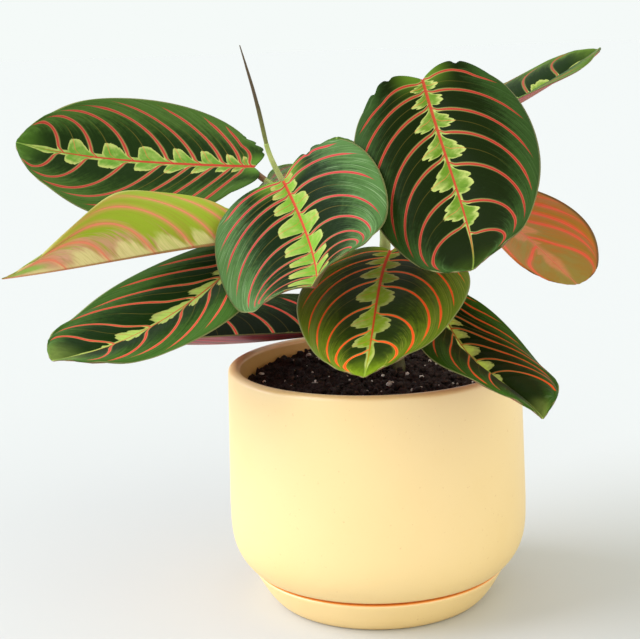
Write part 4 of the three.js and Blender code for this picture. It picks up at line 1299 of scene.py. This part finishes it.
class PLANT_OT_blades(bpy.types.Operator):
    """Make the open leaf blades"""
    bl_idname = "plant.blades"
    bl_label = "Leaf Blades"

    def execute(self, context):
        look = context.scene.plant_blades
        for name, leaf in LEAVES.items():
            paint = SimpleNamespace(**{**USUAL_PAINT, **PAINTS.get(name, {})})
            upper = upper_material(name + "_upper", look, paint)
            paint = SimpleNamespace(**{**USUAL_UNDER, **UNDERSIDES.get(name, {})})
            lower = under_material(name + "_under", paint)
            piece = blade_piece(name + "_blade", leaf, look, [upper, lower])
            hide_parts(name)
        return {"FINISHED"}


class PLANT_OT_rolled_leaf(bpy.types.Operator):
    """Make the new leaf that is still rolled up"""
    bl_idname = "plant.rolled_leaf"
    bl_label = "Rolled Leaf"

    def execute(self, context):
        piece = rolled_leaf_piece(spear_material())
        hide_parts("leaf_rolled")
        return {"FINISHED"}


def soft_sun(name, strength, direction, spread, colour):
    """A sun that shines in a direction, as wide as a window or a bright wall."""
    data = bpy.data.lights.new(name, "SUN")
    data.angle = math.radians(spread)
    data.energy = strength
    data.color = colour
    new_object(name, data).rotation_euler = Vector(direction).to_track_quat("-Z", "Y").to_euler()


class PLANT_OT_stage(bpy.types.Operator):
    """Make the pale floor, the soft lights and the camera"""
    bl_idname = "plant.stage"
    bl_label = "Stage"

    def execute(self, context):
        look = context.scene.plant_stage
        self.camera(context, look)
        self.floor(look)
        self.lights(context, look)
        return {"FINISHED"}

    def camera(self, context, look):
        data = bpy.data.cameras.new("view")
        data.lens = look.lens
        data.sensor_width = 36
        camera = new_object("view", data)
        turn = Euler((math.pi / 2 - look.down, 0, look.aside)).to_matrix()
        roll = Matrix.Rotation(look.tilt, 3, "Z")
        camera.rotation_euler = (turn @ roll).to_euler()
        camera.location = (0, -look.distance, look.height)
        context.scene.camera = camera

    def floor(self, look):
        material, _ = start_material("floor")
        settings = {"Base Color": (*look.floor, 1), "Roughness": 0.7, "Specular IOR Level": 0.0}
        for name, value in settings.items():
            shader_inputs(material)[name].default_value = value
        corners = [(FLOOR_REACH * x, FLOOR_REACH * y, 0.0) for x, y in ((-1, -1), (1, -1), (1, 1), (-1, 1))]
        mesh = bpy.data.meshes.new("floor")
        mesh.from_pydata(corners, [], [(0, 1, 2, 3)])
        mesh.materials.append(material)
        new_object("floor", mesh)

    def lights(self, context, look):
        world = bpy.data.worlds.new("soft_room")
        world.use_nodes = True
        background = world.node_tree.nodes["Background"]
        background.inputs["Color"].default_value = (*BACKGROUND, 1)
        background.inputs["Strength"].default_value = 1.0
        context.scene.world = world
        context.scene.view_settings.view_transform = "Standard"
        soft_sun("window", look.window, *WINDOW_LIGHT)
        soft_sun("room", look.room, *ROOM_LIGHT)


class PLANT_PT_panel(bpy.types.Panel):
    """The parts of the plant, in the order in which they are made"""
    bl_label = "Prayer Plant"
    bl_idname = "PLANT_PT_panel"
    bl_space_type = "VIEW_3D"
    bl_region_type = "UI"
    bl_category = "Prayer Plant"

    def draw(self, context):
        for operator in OPERATORS:
            self.layout.operator(operator.bl_idname)


OPERATORS = (
    PLANT_OT_stage, PLANT_OT_pot, PLANT_OT_soil, PLANT_OT_stalks, PLANT_OT_blades, PLANT_OT_rolled_leaf)
SETTINGS = {
    "plant_blades": PlantBlades, "plant_pot": PlantPot, "plant_soil": PlantSoil,
    "plant_stalks": PlantStalks, "plant_stage": PlantStage,
}
CLASSES = (*SETTINGS.values(), *OPERATORS, PLANT_PT_panel)


def register():
    for cls in CLASSES:
        bpy.utils.register_class(cls)
    for name, group in SETTINGS.items():
        setattr(bpy.types.Scene, name, bpy.props.PointerProperty(type=group))


def unregister():
    for name in SETTINGS:
        delattr(bpy.types.Scene, name)
    for cls in reversed(CLASSES):
        bpy.utils.unregister_class(cls)


def main():
    register()
    bpy.ops.plant.stage()
    bpy.ops.plant.pot()
    bpy.ops.plant.soil()
    bpy.ops.plant.stalks()
    bpy.ops.plant.blades()
    bpy.ops.plant.rolled_leaf()
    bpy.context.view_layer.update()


if __name__ == "__main__":
    main()
